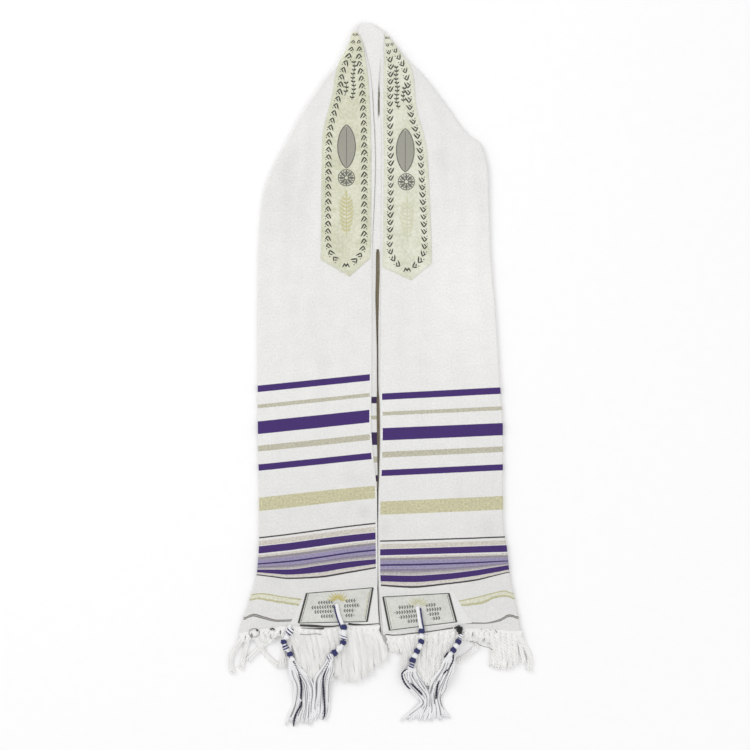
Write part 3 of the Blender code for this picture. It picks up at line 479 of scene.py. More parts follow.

# %% [markdown]
# The stripes are listed from the neck to the hem, in millimetres along the cloth. The broad
# purple and pale gold stripes come first. Below the widest gold stripe the weaver changed to
# narrow ones that run from stone through grey to lilac and back, between thin dark lines. A fine
# double gold line and one of taupe close the pattern. The coloured wefts are mottled yarns, so a
# fine noise along each thread lightens and darkens them.

# %% The stripes and painted shading of the cloth
WOOL = (0.775, 0.77, 0.755)
PURPLE, PALE_GOLD, GOLD = (0.046, 0.016, 0.140), (0.48, 0.46, 0.365), (0.555, 0.53, 0.345)
FINE_GOLD, CREAM, BLUSH = (0.52, 0.50, 0.31), (0.72, 0.715, 0.585), (0.66, 0.615, 0.58)
STONE, GREY, LILAC = (0.61, 0.575, 0.515), (0.285, 0.26, 0.292), (0.305, 0.27, 0.425)
ASH = (0.46, 0.43, 0.425)
MAUVE, DUSK, PLUM = (0.235, 0.205, 0.29), (0.045, 0.04, 0.046), (0.040, 0.022, 0.125)
TAUPE = (0.19, 0.18, 0.158)
STRIPES = (               # where it starts and ends along the cloth, its yarn, its roughness
    (555, 565, PURPLE, 0.6), (583.8, 589.6, PALE_GOLD, 0.5), (609.3, 628.7, PURPLE, 0.6),
    (646.5, 655.5, PALE_GOLD, 0.5), (675, 684.8, PURPLE, 0.6), (725.5, 745.3, GOLD, 0.42),
    (783.4, 785.6, DUSK, 0.6), (789.6, 797, STONE, 0.5), (798, 808.5, PURPLE, 0.6),
    (810.6, 813.4, STONE, 0.5), (813.4, 817.4, GREY, 0.6), (817.4, 822.6, LILAC, 0.6),
    (822.6, 825.6, PLUM, 0.6), (825.6, 829.2, LILAC, 0.6), (829.2, 832.2, MAUVE, 0.6),
    (832.2, 834, GREY, 0.6), (834, 836.6, ASH, 0.5), (837.2, 846.3, PURPLE, 0.6),
    (846.6, 848.8, STONE, 0.5), (848.8, 850.4, BLUSH, 0.6), (850.4, 852.5, DUSK, 0.6),
    (887.6, 890.2, FINE_GOLD, 0.5), (890.2, 895.8, CREAM, 0.6), (895.8, 898.4, FINE_GOLD, 0.5),
    (915, 917.2, TAUPE, 0.6), (917.2, 918.4, ASH, 0.5), (918.4, 920.6, TAUPE, 0.6),
)
# painted shading: darker towards the hem, with soft patches of painted shade and painted light for
# the folds
PAINTED_SHADING = (                 # across, along, half its size across and along, how much darker as painted shade; below 0 it is painted light
    (0, 880, 3000, 330, 0.088), (-145, 268, 70, 115, 0.06), (-160, 212, 34, 46, 0.04),
    (90, 800, 110, 170, -0.022), (-135, 212, 16, 30, -0.03), (-98, 468, 16, 85, 0.03),
    (-80, 532, 20, 24, 0.04), (-20, 763, 18, 16, 0.07), (-35, 712, 40, 16, 0.04),
    (106, 206, 30, 34, 0.045), (142, 405, 120, 200, -0.075), (120, 716, 11, 42, 0.04),
    (160, 774, 22, 30, 0.05), (11, 766, 14, 20, 0.05),
)
SELVAGE = 2.7             # plain cloth along each inner edge, in millimetres
WAVER = 0.5               # how far a stripe's edge strays, in millimetres
print("the broadest stripe is", round(max(end - start for start, end, *_ in STRIPES), 1), "mm")

# %% [markdown]
# The hidden layers turn their slit-side folds into the slit between the legs. Those folds carry a
# taupe stripe of painted shade, which is why the slit looks dark although the floor beside it is
# pale. It is the same cloth with its purple darkened as painted shade, and with that stripe laid
# across the cloth's other direction.

# %% The cloth, plain and with painted slit shade
SLIT_SHADE_START, SLIT_SHADE_END = 400.0, 500.0     # where the painted slit shade lies on the cloth's map
# the first colour is a taupe painted shade for the slit between the legs, the second a purple
# darkened as painted shade
SLIT_SHADE, SHADED_PURPLE = (0.25, 0.207, 0.132), (0.032, 0.014, 0.07)
WOOL_ROUGHNESS = 0.85


def striped_wool(name, painted_shade=False):
    """The shawl's own cloth, and the same with painted shade for the slit."""
    finish, tree, shader, where = new_finish(name, WOOL_ROUGHNESS, sheen=0.12)
    cloth_map = where["UV"]
    shade = weave_into(tree, shader, cloth_map, 0.0007, 0.0007, 0.00016)
    # the weave's shade takes the patches of painted shade and painted light
    for across, along, half_across, half_along, darker in PAINTED_SHADING:
        shade = node(tree, "Group", {
            "Cloth map": cloth_map, "Middle": (across * MM, along * MM, 0.0),
            "Size": (half_across * MM, half_along * MM, 1.0), "Darker": darker,
            "Shade": shade}, node_tree=painted_shading_group).outputs["Shade"]
    axes = node(tree, "SeparateXYZ", {0: cloth_map}).outputs
    across = maths(tree, "MULTIPLY", axes["X"], 1000.0)
    waver = maths(tree, "MULTIPLY", noise(tree, cloth_map, 160.0), WAVER)
    along = maths(tree, "MULTIPLY_ADD", axes["Y"], 1000.0, waver)
    colour, roughness = WOOL, WOOL_ROUGHNESS
    for start, end, yarn, yarn_roughness in STRIPES:
        colour, roughness = node(tree, "Group", {
            "Colour": colour, "Roughness": roughness, "Along": along,
            "Start": start + WAVER / 2, "End": end + WAVER / 2,
            # on the cloth with painted slit shade the purple is darkened as painted shade
            "Yarn colour": SHADED_PURPLE if painted_shade and yarn is PURPLE else yarn,
            "Yarn roughness": yarn_roughness}, node_tree=stripe_group).outputs
    flecks = maths(tree, "MULTIPLY_ADD", noise(tree, cloth_map, 330.0), 0.9, 0.58)
    dyed = maths(tree, "MULTIPLY", maths(tree, "SUBTRACT", 1.0, roughness), 2.0, clamp=True)
    flecked = mix(tree, dyed, 1.0, flecks, "FLOAT")
    plain = maths(tree, "LESS_THAN", maths(tree, "ABSOLUTE", across), SELVAGE)
    colour = mix(tree, plain, colour, WOOL)
    # a taupe stripe of painted shade across the map, for the slit
    if painted_shade:
        colour = node(tree, "Group", {
            "Colour": colour, "Along": across, "Start": SLIT_SHADE_START, "End": SLIT_SHADE_END,
            "Yarn colour": SLIT_SHADE}, node_tree=stripe_group).outputs["Colour"]
    feed(tree, shader["Base Color"], tinted(tree, tinted(tree, colour, flecked), shade))
    feed(tree, shader["Roughness"], roughness)
    print(name, "has", len(STRIPES), "stripes")
    return finish


wool = striped_wool("striped wool cloth")
painted_shade_wool = striped_wool("striped wool cloth with bound edge", painted_shade=True)

# %% [markdown]
# The neckband and the corner patches are a satin: the threads float over several others, which
# gives a smooth face with fine slanting ribs and a low gloss. The fringe, the tassels and the
# stitching are spun yarn, where the ply itself is modelled and only the fibres are left to the
# finish. Each yarn and thread is the same finish with its own tone and roughness.

# %% Satin, yarn and thread
THREAD_FUZZ = 1500.0      # a stitching thread's fibres are finer than a yarn's


def satin(name, dark, light):
    """A smooth cloth with fine ribs and a small, blurred figure of two tones."""
    finish, tree, shader, where = new_finish(name, 0.5, sheen=0.08)
    shade = weave_into(tree, shader, where["UV"], 0.0009, 0.0016, 0.00010, slub=0.5)
    figure = maths(tree, "MULTIPLY", noise(tree, where["UV"], 230.0), 1.6)
    clouds = maths(tree, "MULTIPLY", noise(tree, where["UV"], 38.0), 1.4)
    tone = maths(tree, "SUBTRACT", maths(tree, "ADD", figure, clouds), 1.0, clamp=True)
    feed(tree, shader["Base Color"], tinted(tree, mix(tree, tone, dark, light), shade))
    return finish


def spun(name, colour, roughness, fuzz=900.0):
    """A spun yarn: fine fibres as a bump, and a little change of tone along it."""
    finish, tree, shader, where = new_finish(name, roughness, sheen=0.15)
    fibres = noise(tree, where["Object"], fuzz, 4.0)
    emboss(tree, shader, fibres, 0.0003)
    shade = maths(tree, "MULTIPLY_ADD", fibres, 0.22, 0.89)
    feed(tree, shader["Base Color"], tinted(tree, colour, shade))
    return finish


band_satins = {"left": satin("sage satin", (0.535, 0.54, 0.385), (0.735, 0.735, 0.61)),
               "right": satin("light sage satin", (0.58, 0.59, 0.45), (0.77, 0.775, 0.67))}
patch_satin = satin("pale sage satin", (0.56, 0.565, 0.525), (0.70, 0.705, 0.665))
backing_satin = satin("white satin", (0.725, 0.72, 0.705), (0.765, 0.765, 0.755))
white_yarn = spun("white spun yarn", (0.875, 0.87, 0.855), 0.85)
white_cord = spun("white plied cord", (0.84, 0.84, 0.85), 0.8)
blue_cord = spun("blue plied cord", (0.030, 0.032, 0.125), 0.7)
navy_cord = spun("navy plied cord", (0.022, 0.021, 0.048), 0.75)
painted_shadow_cord = spun("grey painted shadow strand", (0.30, 0.30, 0.31), 0.8)
soot = spun("soot black thread", (0.014, 0.014, 0.014), 0.7, THREAD_FUZZ)
charcoal = spun("charcoal thread", (0.055, 0.060, 0.045), 0.6, THREAD_FUZZ)
ink = spun("ink grey thread", (0.045, 0.045, 0.04), 0.6, THREAD_FUZZ)
slate = spun("slate thread", (0.15, 0.15, 0.135), 0.6, THREAD_FUZZ)
stone = spun("stone grey thread", (0.36, 0.352, 0.30), 0.55, THREAD_FUZZ)
old_gold = spun("old gold thread", (0.58, 0.54, 0.27), 0.45, THREAD_FUZZ)
straw = spun("straw thread", (0.66, 0.655, 0.47), 0.5, THREAD_FUZZ)
patch_gold = spun("patch gold thread", (0.62, 0.55, 0.22), 0.45, THREAD_FUZZ)
ivory = spun("ivory thread", (0.76, 0.76, 0.71), 0.6, THREAD_FUZZ)
paper, tree, shader, where = new_finish("pale floor paper", 0.9)
grain = maths(tree, "MULTIPLY_ADD", noise(tree, where["Object"], 60.0), 0.02, 0.98)
feed(tree, shader["Base Color"], tinted(tree, (0.93, 0.93, 0.93), grain))
floor.data.materials.append(paper)
print("finishes:", len(bpy.data.materials))

# %% [markdown]
# ## Laying a sheet
#
# Every sheet starts as a flat grid, the way cloth comes off the loom. Each of its points is then
# carried to where that spot of the cloth lies, and its map keeps the place on the cloth in
# metres. Solidify gives the wall last. The grid is the outer face, so the wall grows inwards and
# the size stays true.

# %% A sheet from a grid
def lay_sheet(name, across, along, place, on_cloth, wall, finish):
    """Lay a grid of cloth: place and on_cloth take shares 0 to 1 across and along it."""
    bpy.ops.object.select_all(action="DESELECT")
    bpy.ops.mesh.primitive_grid_add(x_subdivisions=across, y_subdivisions=along, size=1)
    sheet = bpy.context.object
    sheet.name = sheet.data.name = name
    spots = [(vertex.co.x + 0.5, 0.5 - vertex.co.y) for vertex in sheet.data.vertices]
    cloth = [Vector(on_cloth(*spot)) * MM for spot in spots]
    map_points = sheet.data.uv_layers.active.data
    for loop in sheet.data.loops:
        map_points[loop.index].uv = cloth[loop.vertex_index]
    for vertex, spot in zip(sheet.data.vertices, spots):
        vertex.co = place(*spot)
    sheet.data.materials.append(finish)
    if wall:
        thicken = sheet.modifiers.new("Cloth wall", "SOLIDIFY")
        thicken.thickness = wall * MM
        thicken.offset = -1.0
        bpy.ops.object.modifier_apply(modifier=thicken.name)
    bpy.ops.object.shade_smooth_by_angle(angle=math.radians(60))
    return sheet


def dress(piece, node_name=None):
    """Let a piece ride the one body, and hide the model's node that it stands in for, if any."""
    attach(piece, "root")
    if node_name:
        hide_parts(node_name)
    triangles = sum(len(face.vertices) - 2 for face in piece.data.polygons)
    print(piece.name, triangles, "triangles")
    return piece

# %% [markdown]
# ## The front layers
#
# The front of each leg is what the eye sees first: one layer that lies over the folded ones and
# rolls round the outer fold to tuck back under. A simulated drape would smooth it into any shape
# it liked, while this cloth has to keep its straight folds, so it is laid by its own threads:
# each row of the grid is one crosswise thread, and each column runs along the leg.

# %% The front layers
SHEET_WALL = 0.8
FLAT_COLUMNS, ROLL_COLUMNS, THREAD_ROWS = 40, 12, 230
FLAT_SHARE = FLAT_COLUMNS / (FLAT_COLUMNS + ROLL_COLUMNS)
LEG_WIDTH, ROLLED_WIDTH = 182.0, 12.0
TOP_LAP = 2.0             # how far the front laps over the neck fold's cloth
TUCKED = 1.2              # how far its first edge is let down into that cloth


def front_sheet(leg):
    """Lay the front layer of one leg, rolled round its outer fold."""
    rows, start = {}, leg.top - TOP_LAP

    def on_cloth(across, along):
        out = across if leg is RIGHT else 1 - across
        rolled = max(0.0, out - FLAT_SHARE) / (1 - FLAT_SHARE)
        return (leg.out * (min(1.0, out / FLAT_SHARE) * LEG_WIDTH + rolled * ROLLED_WIDTH),
                part_way(start, HEM_ALONG, along))

    def place(across, along):
        length = part_way(start, HEM_ALONG, along)
        if along not in rows:
            rows[along] = thread_line(leg, length)
        out = across if leg is RIGHT else 1 - across
        share = min(1.0, out / FLAT_SHARE)
        down = rows[along](share) + min(0.0, length - leg.top)
        radius = roll_radius(down)
        dropped = TUCKED * (1 - ease((length - start) / 5))
        if out <= FLAT_SHARE:
            x = part_way(leg.inner(down), leg.outer(down) - leg.out * radius, share)
            return point(x, down, front_height(leg, x, down) - dropped)
        angle = math.pi * (out - FLAT_SHARE) / (1 - FLAT_SHARE)
        x = leg.outer(down) - leg.out * radius * (1 - math.sin(angle))
        return point(x, down, face(down) - radius * (1 - math.cos(angle)) - dropped)

    sheet = lay_sheet(f"{leg.name}_front_cloth", FLAT_COLUMNS + ROLL_COLUMNS, THREAD_ROWS,
                      place, on_cloth, SHEET_WALL, wool)
    return dress(sheet, f"shawl_{leg.name}_front")


left_front, right_front = front_sheet(LEFT), front_sheet(RIGHT)

# %% [markdown]
# ## The folded layers
#
# Under each front lie the folded layers. Nothing shows of them but a narrow strip beside the
# slit between the legs and the layered ends. They share one closed form whose slit side has a
# rounded fold for each layer. Their stripes don't meet the front's, as the layers have slipped.

# %% Where the legs part
SLIT = (                  # how far down, its middle, its width
    (0, -9.0, 0.5), (47, -4.0, 0.5), (88, -3.2, 0.6), (104, -3.2, 1.6), (116, -3.2, 3.4),
    (134, -3.2, 3.2), (150, -3.4, 0.8), (178, -4.0, 0.5), (342, -5.2, 1.2), (352, -4.8, 5.3),
    (386, -5.0, 5.7), (424, -5.9, 5.2), (460, -5.7, 3.4), (510, -5.2, 2.2), (556, -5.0, 2.2),
    (586, -4.4, 4.6), (640, -3.9, 4.2), (690, -4.1, 2.2), (720, -5.4, 2.4), (748, -5.6, 2.2),
    (762, -5.2, 0.3), (858, -4.6, 0.3), (870, -5.2, 2.0), (901, -3.2, 2.2), (927, 0.2, 2.4),
)
slit_middle, slit_width = curves(SLIT)
HEM_DOWN, FLARE, WEDGE_END = 924.0, 837.0, 348.0
hem_lines = {leg.name: thread_line(leg, HEM_ALONG) for leg in (LEFT, RIGHT)}


def hem_down(leg, x):
    """How far down the front hem lies at x."""
    inner = leg.inner(HEM_DOWN)
    outer = leg.outer(HEM_DOWN) - leg.out * roll_radius(HEM_DOWN)
    return hem_lines[leg.name]((x - inner) / (outer - inner))


def bent(leg, x, down):
    """A row of the folded layers, bent to follow the hem near the foot."""
    return down + (hem_down(leg, x) - HEM_DOWN) * ease((down - FLARE) / (HEM_DOWN - FLARE))


print("the slit is at most", max(width for _, _, width in SLIT), "mm wide")

# %% The section of the folded layers
SLIT_FOLDS = [(0.02, 1.6), (1.7, 3.4)]      # the two lower layers; the third tops them
CORE_AIR = 0.35           # air between the folded layers and the front's wall
SHELF = 1.6               # how much lower their slit side lies along the wedge of the neck
FOLD_TURN = 0.9           # how far a layer's rounded fold stands out


def folded_section(leg, down):
    """Corners of one section of the folded layers, as (distance in, height)."""
    outer = leg.outer(down)
    width = abs(outer - leg.inner(down))
    slit = (outer - slit_middle(down) - leg.out * slit_width(down) / 2) * leg.out
    radius = roll_radius(down)
    core = radius - SHEET_WALL - CORE_AIR
    pivot = face(down) - radius
    shelf = SHELF * (1 - ease((down - WEDGE_END + 20) / 12))
    corners = [(1.9 - 0.7 * math.sin(t), 0.72 - 0.7 * math.cos(t))
               for t in (math.pi * step / 5 for step in range(6))]
    corners += [(radius + 1.6, 1.42), (radius + 1.6, max(1.5, pivot - core))]
    corners += [(radius - core * math.sin(t), pivot - core * math.cos(t))
                for t in (math.pi * step / 6 for step in range(1, 7))]
    ledge = min(slit - 4.0, width - 8.0 if shelf > 0.01 else width + 1.0)
    ledge = max(ledge, radius + 1.2)
    top = folded_top(down)
    corners += [(radius + (ledge - radius) * share, pivot + core)
                for share in (0.25, 0.5, 0.75, 0.9)]
    corners += [(ledge, pivot + core - 0.1), (ledge + 0.45 * (slit - ledge), top - shelf)]
    # from here the slit-side folds carry the taupe painted shade
    shade_from = len(corners)
    for fold in reversed([*SLIT_FOLDS, (3.5, max(4.6, top - shelf - 0.1))]):
        low, half = fold[0], (fold[1] - fold[0]) / 2
        reach = slit_width(down) / 2 - 0.15 if fold is SLIT_FOLDS[0] and down > WEDGE_END else 0
        corners += [(slit + reach - FOLD_TURN + FOLD_TURN * math.sin(t),
                     low + half + half * math.cos(t))
                    for t in (math.pi * share for share in (0.12, 0.35, 0.65, 0.88))]
    shade_to = len(corners)
    corners += [(slit + (2.0 - slit) * share, 0.02) for share in (0.2, 0.5, 0.8)]
    return corners, shade_from, shade_to


print("corners in a section:", len(folded_section(LEFT, 400)[0]))

# %% [markdown]
# A closed form is a grid whose first and last columns meet. The grid is laid like any sheet,
# then the seam is merged, both ends are filled and the normals are made to point outwards.

# %% The folded layers
STACK_ROWS, STACK_START, STACK_STOP = 130, 4.6, HEM_DOWN - 3
SLIP = {"left": 17.0, "right": 3.0}     # how far down the layers have slipped
LAST_STRIPE = {"left": 757.0, "right": 545.0}   # beyond this their slit side is plain


def folded_stack(leg):
    """The folded layers of one leg as one closed form."""
    corners, shade_from, shade_to = folded_section(leg, 400)
    count = len(corners)
    sections = {}

    def place(across, along):
        down = part_way(STACK_START, STACK_STOP, along)
        if along not in sections:
            sections[along] = folded_section(leg, down)[0]
        inward, z = sections[along][round(across * count) % count]
        x = leg.outer(down) - leg.out * inward
        return point(x, bent(leg, x, down), z)

    def on_cloth(across, along):
        corner = round(across * count)
        # the slit-side folds take the taupe painted shade
        in_slit_shade = shade_from + 2 <= corner < shade_to
        u = (SLIT_SHADE_START + SLIT_SHADE_END) / 2 if in_slit_shade else across * 380
        v = part_way(STACK_START, STACK_STOP, along) - SLIP[leg.name]
        return u, min(v, LAST_STRIPE[leg.name]) if corner >= shade_from - 2 else v

    stack = lay_sheet(f"{leg.name}_folded_cloth", count, STACK_ROWS, place, on_cloth, 0,
                      painted_shade_wool)
    bpy.ops.object.mode_set(mode="EDIT")
    bpy.ops.mesh.select_all(action="SELECT")
    bpy.ops.mesh.remove_doubles(threshold=0.000005)
    bpy.ops.mesh.fill_holes(sides=0)
    bpy.ops.mesh.select_all(action="SELECT")
    bpy.ops.mesh.normals_make_consistent(inside=False)
    bpy.ops.object.mode_set(mode="OBJECT")
    bpy.ops.object.shade_smooth_by_angle(angle=math.radians(60))
    return dress(stack, f"shawl_{leg.name}_folded_layers")


left_stack, right_stack = folded_stack(LEFT), folded_stack(RIGHT)

# %% [markdown]
# ## The back of the neck
#
# Between the two fronts the inside of the back neck shows as a long thin wedge. The cloth rolls
# over the neck fold, falls away to both sides, and sinks into a valley where the two stacks of
# folded layers meet; the deepest part of that valley takes the taupe painted shade.

# %% The sides of the back neck
CAP_ROWS, NECK_ROWS, NECK_COLUMNS = 12, 150, 56
CAP_SHARE = CAP_ROWS / (CAP_ROWS + NECK_ROWS)
NECK_STOP = 346.0
UNDER_FRONT = 6.0         # how far it runs in under each front
SIDE_SHARE = 0.2          # share of its columns that roll down each side of the cap
OPENING_DEPTH, OPENING_WIDTH = 4.8, 1.35      # the valley where the two stacks meet
GROOVE_DEPTH, GROOVE_WIDTH = 1.9, 1.3         # the groove beside the left front
BACK_SLIP = 30.0          # how far this layer has slipped down past the front


def neck_side(leg, down, turn):
    """One side of the back neck: x and height, turn 0 at the flat, 1 at the edge."""
    radius = roll_radius(down) - 0.7
    angle = turn * math.radians(150)
    rolled_x = leg.outer(down) - leg.out * radius * (1 - math.sin(angle))
    rolled_z = folded_top(down) - radius * (1 - math.cos(angle))
    under = ease((down - leg.top + 5) / 4)
    x = leg.inner(max(down, leg.top)) + leg.out * UNDER_FRONT * turn
    return part_way(rolled_x, x, under), part_way(rolled_z, folded_top(down), under)

# %% The valley and the whole of the back neck
opening_x, = curves([(44, 1.0), (64, 0.2), (80, -1.0), (102, -2.7), (126, -3.2), (152, -3.2)])


def neck_spot(across, along):
    """Where a spot of the back neck lies: x, down and height."""
    radius = (folded_top(0) - ROLL_LOW) / 2
    if along < CAP_SHARE:
        angle = math.pi * (1 - along / CAP_SHARE)
        down, drop = radius * (1 - math.sin(angle)), radius * (1 - math.cos(angle))
    else:
        down, drop = part_way(radius, NECK_STOP, (along - CAP_SHARE) / (1 - CAP_SHARE)), 0.0
    if across < SIDE_SHARE:
        x, z = neck_side(LEFT, down, 1 - across / SIDE_SHARE)
    elif across > 1 - SIDE_SHARE:
        x, z = neck_side(RIGHT, down, (across + SIDE_SHARE - 1) / SIDE_SHARE)
    else:
        left, low = neck_side(LEFT, down, 0)
        right, high = neck_side(RIGHT, down, 0)
        share = (across - SIDE_SHARE) / (1 - 2 * SIDE_SHARE)
        x, z = part_way(left, right, share), part_way(low, high, share)
        opening = OPENING_DEPTH * math.exp(-((x - opening_x(down)) / OPENING_WIDTH) ** 2)
        opening *= ease((down - 40) / 60) * ease((150 - down) / 14)
        groove = GROOVE_DEPTH * math.exp(-((x - left) / GROOVE_WIDTH) ** 2)
        groove *= ease((down - 90) / 30)
        z -= opening + groove * ease((NECK_STOP - down) / 60)
    fallen = folded_top(down) - z
    return x, down, z - drop * max(0.0, 1 - max(0.0, fallen) / (2 * radius))


def neck_cloth(across, along):
    """A spot's place on the cloth; the sunk valley maps onto the painted slit shade."""
    x, down, z = neck_spot(across, along)
    # where the valley sinks deep it takes the taupe painted shade
    sunk = SIDE_SHARE < across < 1 - SIDE_SHARE and folded_top(down) - z > 2.4 and down > 60
    return (SLIT_SHADE_START + SLIT_SHADE_END) / 2 if sunk else x, down - BACK_SLIP


back_neck = dress(
    lay_sheet("back_neck_cloth", NECK_COLUMNS, CAP_ROWS + NECK_ROWS,
              lambda across, along: point(*neck_spot(across, along)),
              neck_cloth, SHEET_WALL, painted_shade_wool), "shawl_back_neck")

# %% [markdown]
# ## The neckband
#
# The neckband is a satin ribbon, sewn along the inner edge of each leg and cut to a point at its
# lower end. Its grid has a column that runs through the point, so the two slanting edges stay
# straight. It lies on the front layer and follows every crease of it.

# %% Neckband tables
LEFT_BAND = (             # how far down, x of the outer edge, x of the inner edge
    (13.5, -43.4, -37.0), (20.5, -45.4, -33.2), (29, -47.6, -28.9), (41, -52.8, -25.9),
    (54, -60.4, -24.2), (66, -65.8, -22.3), (83, -70.4, -19.9), (106, -73.4, -18.4),
    (127, -78.8, -17.3), (149, -84.6, -16.4), (171, -89.0, -15.8), (200, -90.3, -15.3),
    (271, -90.9, -15.3), (330, -91.5, -15.6), (360, -92.1, -16.8),
)
RIGHT_BAND = (
    (18, 8.6, 5.4), (24, 14.0, 5.6), (35, 22.6, 5.6), (50, 32.9, 5.3), (69, 45.9, 4.6),
    (90, 50.5, 4.0), (113, 52.0, 3.7), (135, 55.1, 3.5), (153, 59.7, 3.5), (171, 65.2, 3.8),
    (193, 69.6, 4.3), (223, 71.9, 4.6), (271, 74.2, 4.3), (324, 76.5, 3.4), (369, 77.7, 2.1),
)
BandPlan = namedtuple("BandPlan", "leg start outer inner tip ends")
LEFT_PLAN = BandPlan(LEFT, LEFT_BAND[0][0], *curves(LEFT_BAND), 0.58, (361.8, 387.5, 359.6))
RIGHT_PLAN = BandPlan(RIGHT, RIGHT_BAND[0][0], *curves(RIGHT_BAND), 0.42,
                      (367.2, 393.5, 373.3))
LAYER = 0.9               # face of a layer sewn on the front, above the front's own face
BAND_CUT = 0.6            # thickness of the satin


def band_end(plan, share):
    """How far down the neckband ends at a share from its outer edge."""
    corner, tip, last = plan.ends
    if share <= plan.tip:
        return part_way(corner, tip, share / plan.tip)
    return part_way(tip, last, (share - plan.tip) / (1 - plan.tip))


def on_front(leg, x, down, lift):
    """A point over the front layer, moved off it by lift, also where it starts to roll."""
    radius = roll_radius(down)
    inward = max(STEEPEST * radius, (leg.outer(down) - x) * leg.out)
    lean = max(0.0, 1 - inward / radius)
    return point(x + leg.out * lift * lean, down,
                 front_height(leg, x, down) + lift * math.sqrt(1 - lean ** 2))


def band_x(plan, share, down):
    """The neckband's x at a share from its outer edge."""
    return part_way(plan.outer(down), plan.inner(down), share)


print("the band's two ends reach", LEFT_PLAN.ends[1], "and", RIGHT_PLAN.ends[1], "mm down")

# %% The two ends of the neckband
TIP_COLUMNS, REST_COLUMNS, BAND_ROWS = 14, 10, 96


def neckband(plan, columns_before_tip):
    """Lay one end of the neckband on its front layer."""
    columns = TIP_COLUMNS + REST_COLUMNS
    bend = columns_before_tip / columns

    def spot(across, along):
        share = across if plan.leg is LEFT else 1 - across
        if share <= bend:
            share = plan.tip * share / bend
        else:
            share = part_way(plan.tip, 1, (share - bend) / (1 - bend))
        down = part_way(plan.start, band_end(plan, share), along)
        return band_x(plan, share, down), down

    def place(across, along):
        x, down = spot(across, along)
        drop = 1.1 * (1 - ease(along * (BAND_ROWS / 1.6)))
        return on_front(plan.leg, x, down, LAYER) - Vector((0, 0, drop * MM))

    name = plan.leg.name
    band = lay_sheet(f"{name}_neckband", columns, BAND_ROWS, place, spot, BAND_CUT,
                     band_satins[name])
    return dress(band, f"neckband_{name}")


left_band = neckband(LEFT_PLAN, TIP_COLUMNS)
right_band = neckband(RIGHT_PLAN, REST_COLUMNS)

# %% [markdown]
# ## The corner patches
#
# An oblong of satin strengthens each corner where the tassel goes through. It is laid between its
# four corners and follows the front.

# %% The corner patches
LEFT_CORNERS = ((-114.0, 872.6), (-12.2, 864.0), (-126.4, 918.0), (-21.1, 915.6))
RIGHT_CORNERS = ((104.0, 872.6), (2.8, 878.2), (115.8, 916.2), (12.9, 929.2))
OBLONG_ROWS = 18


def patch_spot(corners, out, along):
    """A spot on a patch, x and down: out is 0 at the outer side and 1 at the inner one."""
    top_out, top_in, low_out, low_in = corners
    return tuple(part_way(part_way(*top, out), part_way(*low, out), along)
                 for top, low in zip(zip(top_out, top_in), zip(low_out, low_in)))


def sew_oblong(name, leg, corners, columns, lift, cut, finish, node_name=None):
    """Lay an oblong of satin on a front, between its four corners."""
    def spot(across, along):
        return patch_spot(corners, across if leg is LEFT else 1 - across, along)

    oblong = lay_sheet(f"{leg.name}_{name}", columns, OBLONG_ROWS,
                       lambda across, along: on_front(leg, *spot(across, along), lift),
                       spot, cut, finish)
    return dress(oblong, node_name)


left_patch, right_patch = (
    sew_oblong("corner_patch", leg, corners, 34, LAYER, BAND_CUT, patch_satin,
               f"corner_patch_{leg.name}")
    for leg, corners in ((LEFT, LEFT_CORNERS), (RIGHT, RIGHT_CORNERS)))

# %% [markdown]
# ## Yarn
#
# A plied yarn is two to four threads wound round each other. A tube with a bump map would look
# painted, so each ply is its own thin tube along a helix, and the whole is pressed a little
# flat, because it lies on cloth. All yarns of one piece are one curve object, which is made a
# mesh once it is complete.

# %% Plied yarn
Knot = namedtuple("Knot", "place radius")


def walk(path, step):
    """Points at equal steps along a path in millimetres, each with its direction."""
    spots, left = [], 0.0
    for start, stop in zip(path, path[1:]):
        run = stop - start
        long = run.length
        while left < long:
            spots.append((start + run * (left / long), run / long))
            left += step
        left -= long
    spots.append((path[-1], (path[-1] - path[-2]).normalized()))
    return spots


PLY_STEPS = 6             # points in one turn of a ply


def ply(path, count, turn, spread, radius, flat, loose=0.0, phase=0.0):
    """Wind count threads round a path; loose lets them part towards the end."""
    spots = walk(path, turn / PLY_STEPS)
    threads = []
    for thread in range(count):
        stroke = []
        for index, (spot, along) in enumerate(spots):
            share = index / max(1, len(spots) - 1)
            angle = 2 * math.pi * (index / PLY_STEPS + thread / count) + phase
            side = Vector((along.y, -along.x, 0)).normalized()
            apart = spread * (1 + loose * ease((share - 0.8) / 0.2))
            lift = Vector((0, 0, math.sin(angle) * apart * flat))
            thin = radius * (1 - 0.35 * ease((share - 0.9) / 0.1))
            stroke.append(Knot(spot + side * math.cos(angle) * apart + lift, thin))
        threads.append(stroke)
    return threads

# %% From strokes to a mesh
def draw_yarn(name, strokes, finish, node_name=None, roundness=1):
    """Turn strokes, lists of Knot in millimetres, into one mesh piece."""
    bpy.ops.object.select_all(action="DESELECT")
    bpy.ops.object.add(type="CURVE", location=(0, 0, 0))
    piece = bpy.context.object
    piece.name = piece.data.name = name
    piece.data.dimensions = "3D"
    piece.data.bevel_depth = MM
    piece.data.bevel_resolution = roundness
    piece.data.use_fill_caps = True
    for stroke in strokes:
        spline = piece.data.splines.new("POLY")
        spline.points.add(len(stroke) - 1)
        for target, knot in zip(spline.points, stroke):
            target.co = (*(knot.place * MM), 1.0)
            target.radius = knot.radius
    bpy.ops.object.convert(target="MESH")
    piece = bpy.context.object
    piece.data.materials.append(finish)
    bpy.ops.object.shade_smooth()
    return dress(piece, node_name)


def on_shawl(x, down, z):
    """A place on the shawl, in millimetres."""
    return Vector((x, NECK_Y - down, z))

# %% [markdown]
# ## The fringe
#
# Hem threads are gathered into knots and hang down as soft plied strands. Each row of the tables
# is one strand: where its knot sits, how far it runs sideways, its length and its bow. Strands
# in the middle lie on the fringe of the layer beneath, those at the sides come down to the
# floor.

# %% Fringe tables
Strand = namedtuple("Strand", "root sideways length bow low")


def strands(*rows):
    """The rows of one fringe; low is 1 where a strand comes down to the floor."""
    return [Strand(*row) for row in rows]


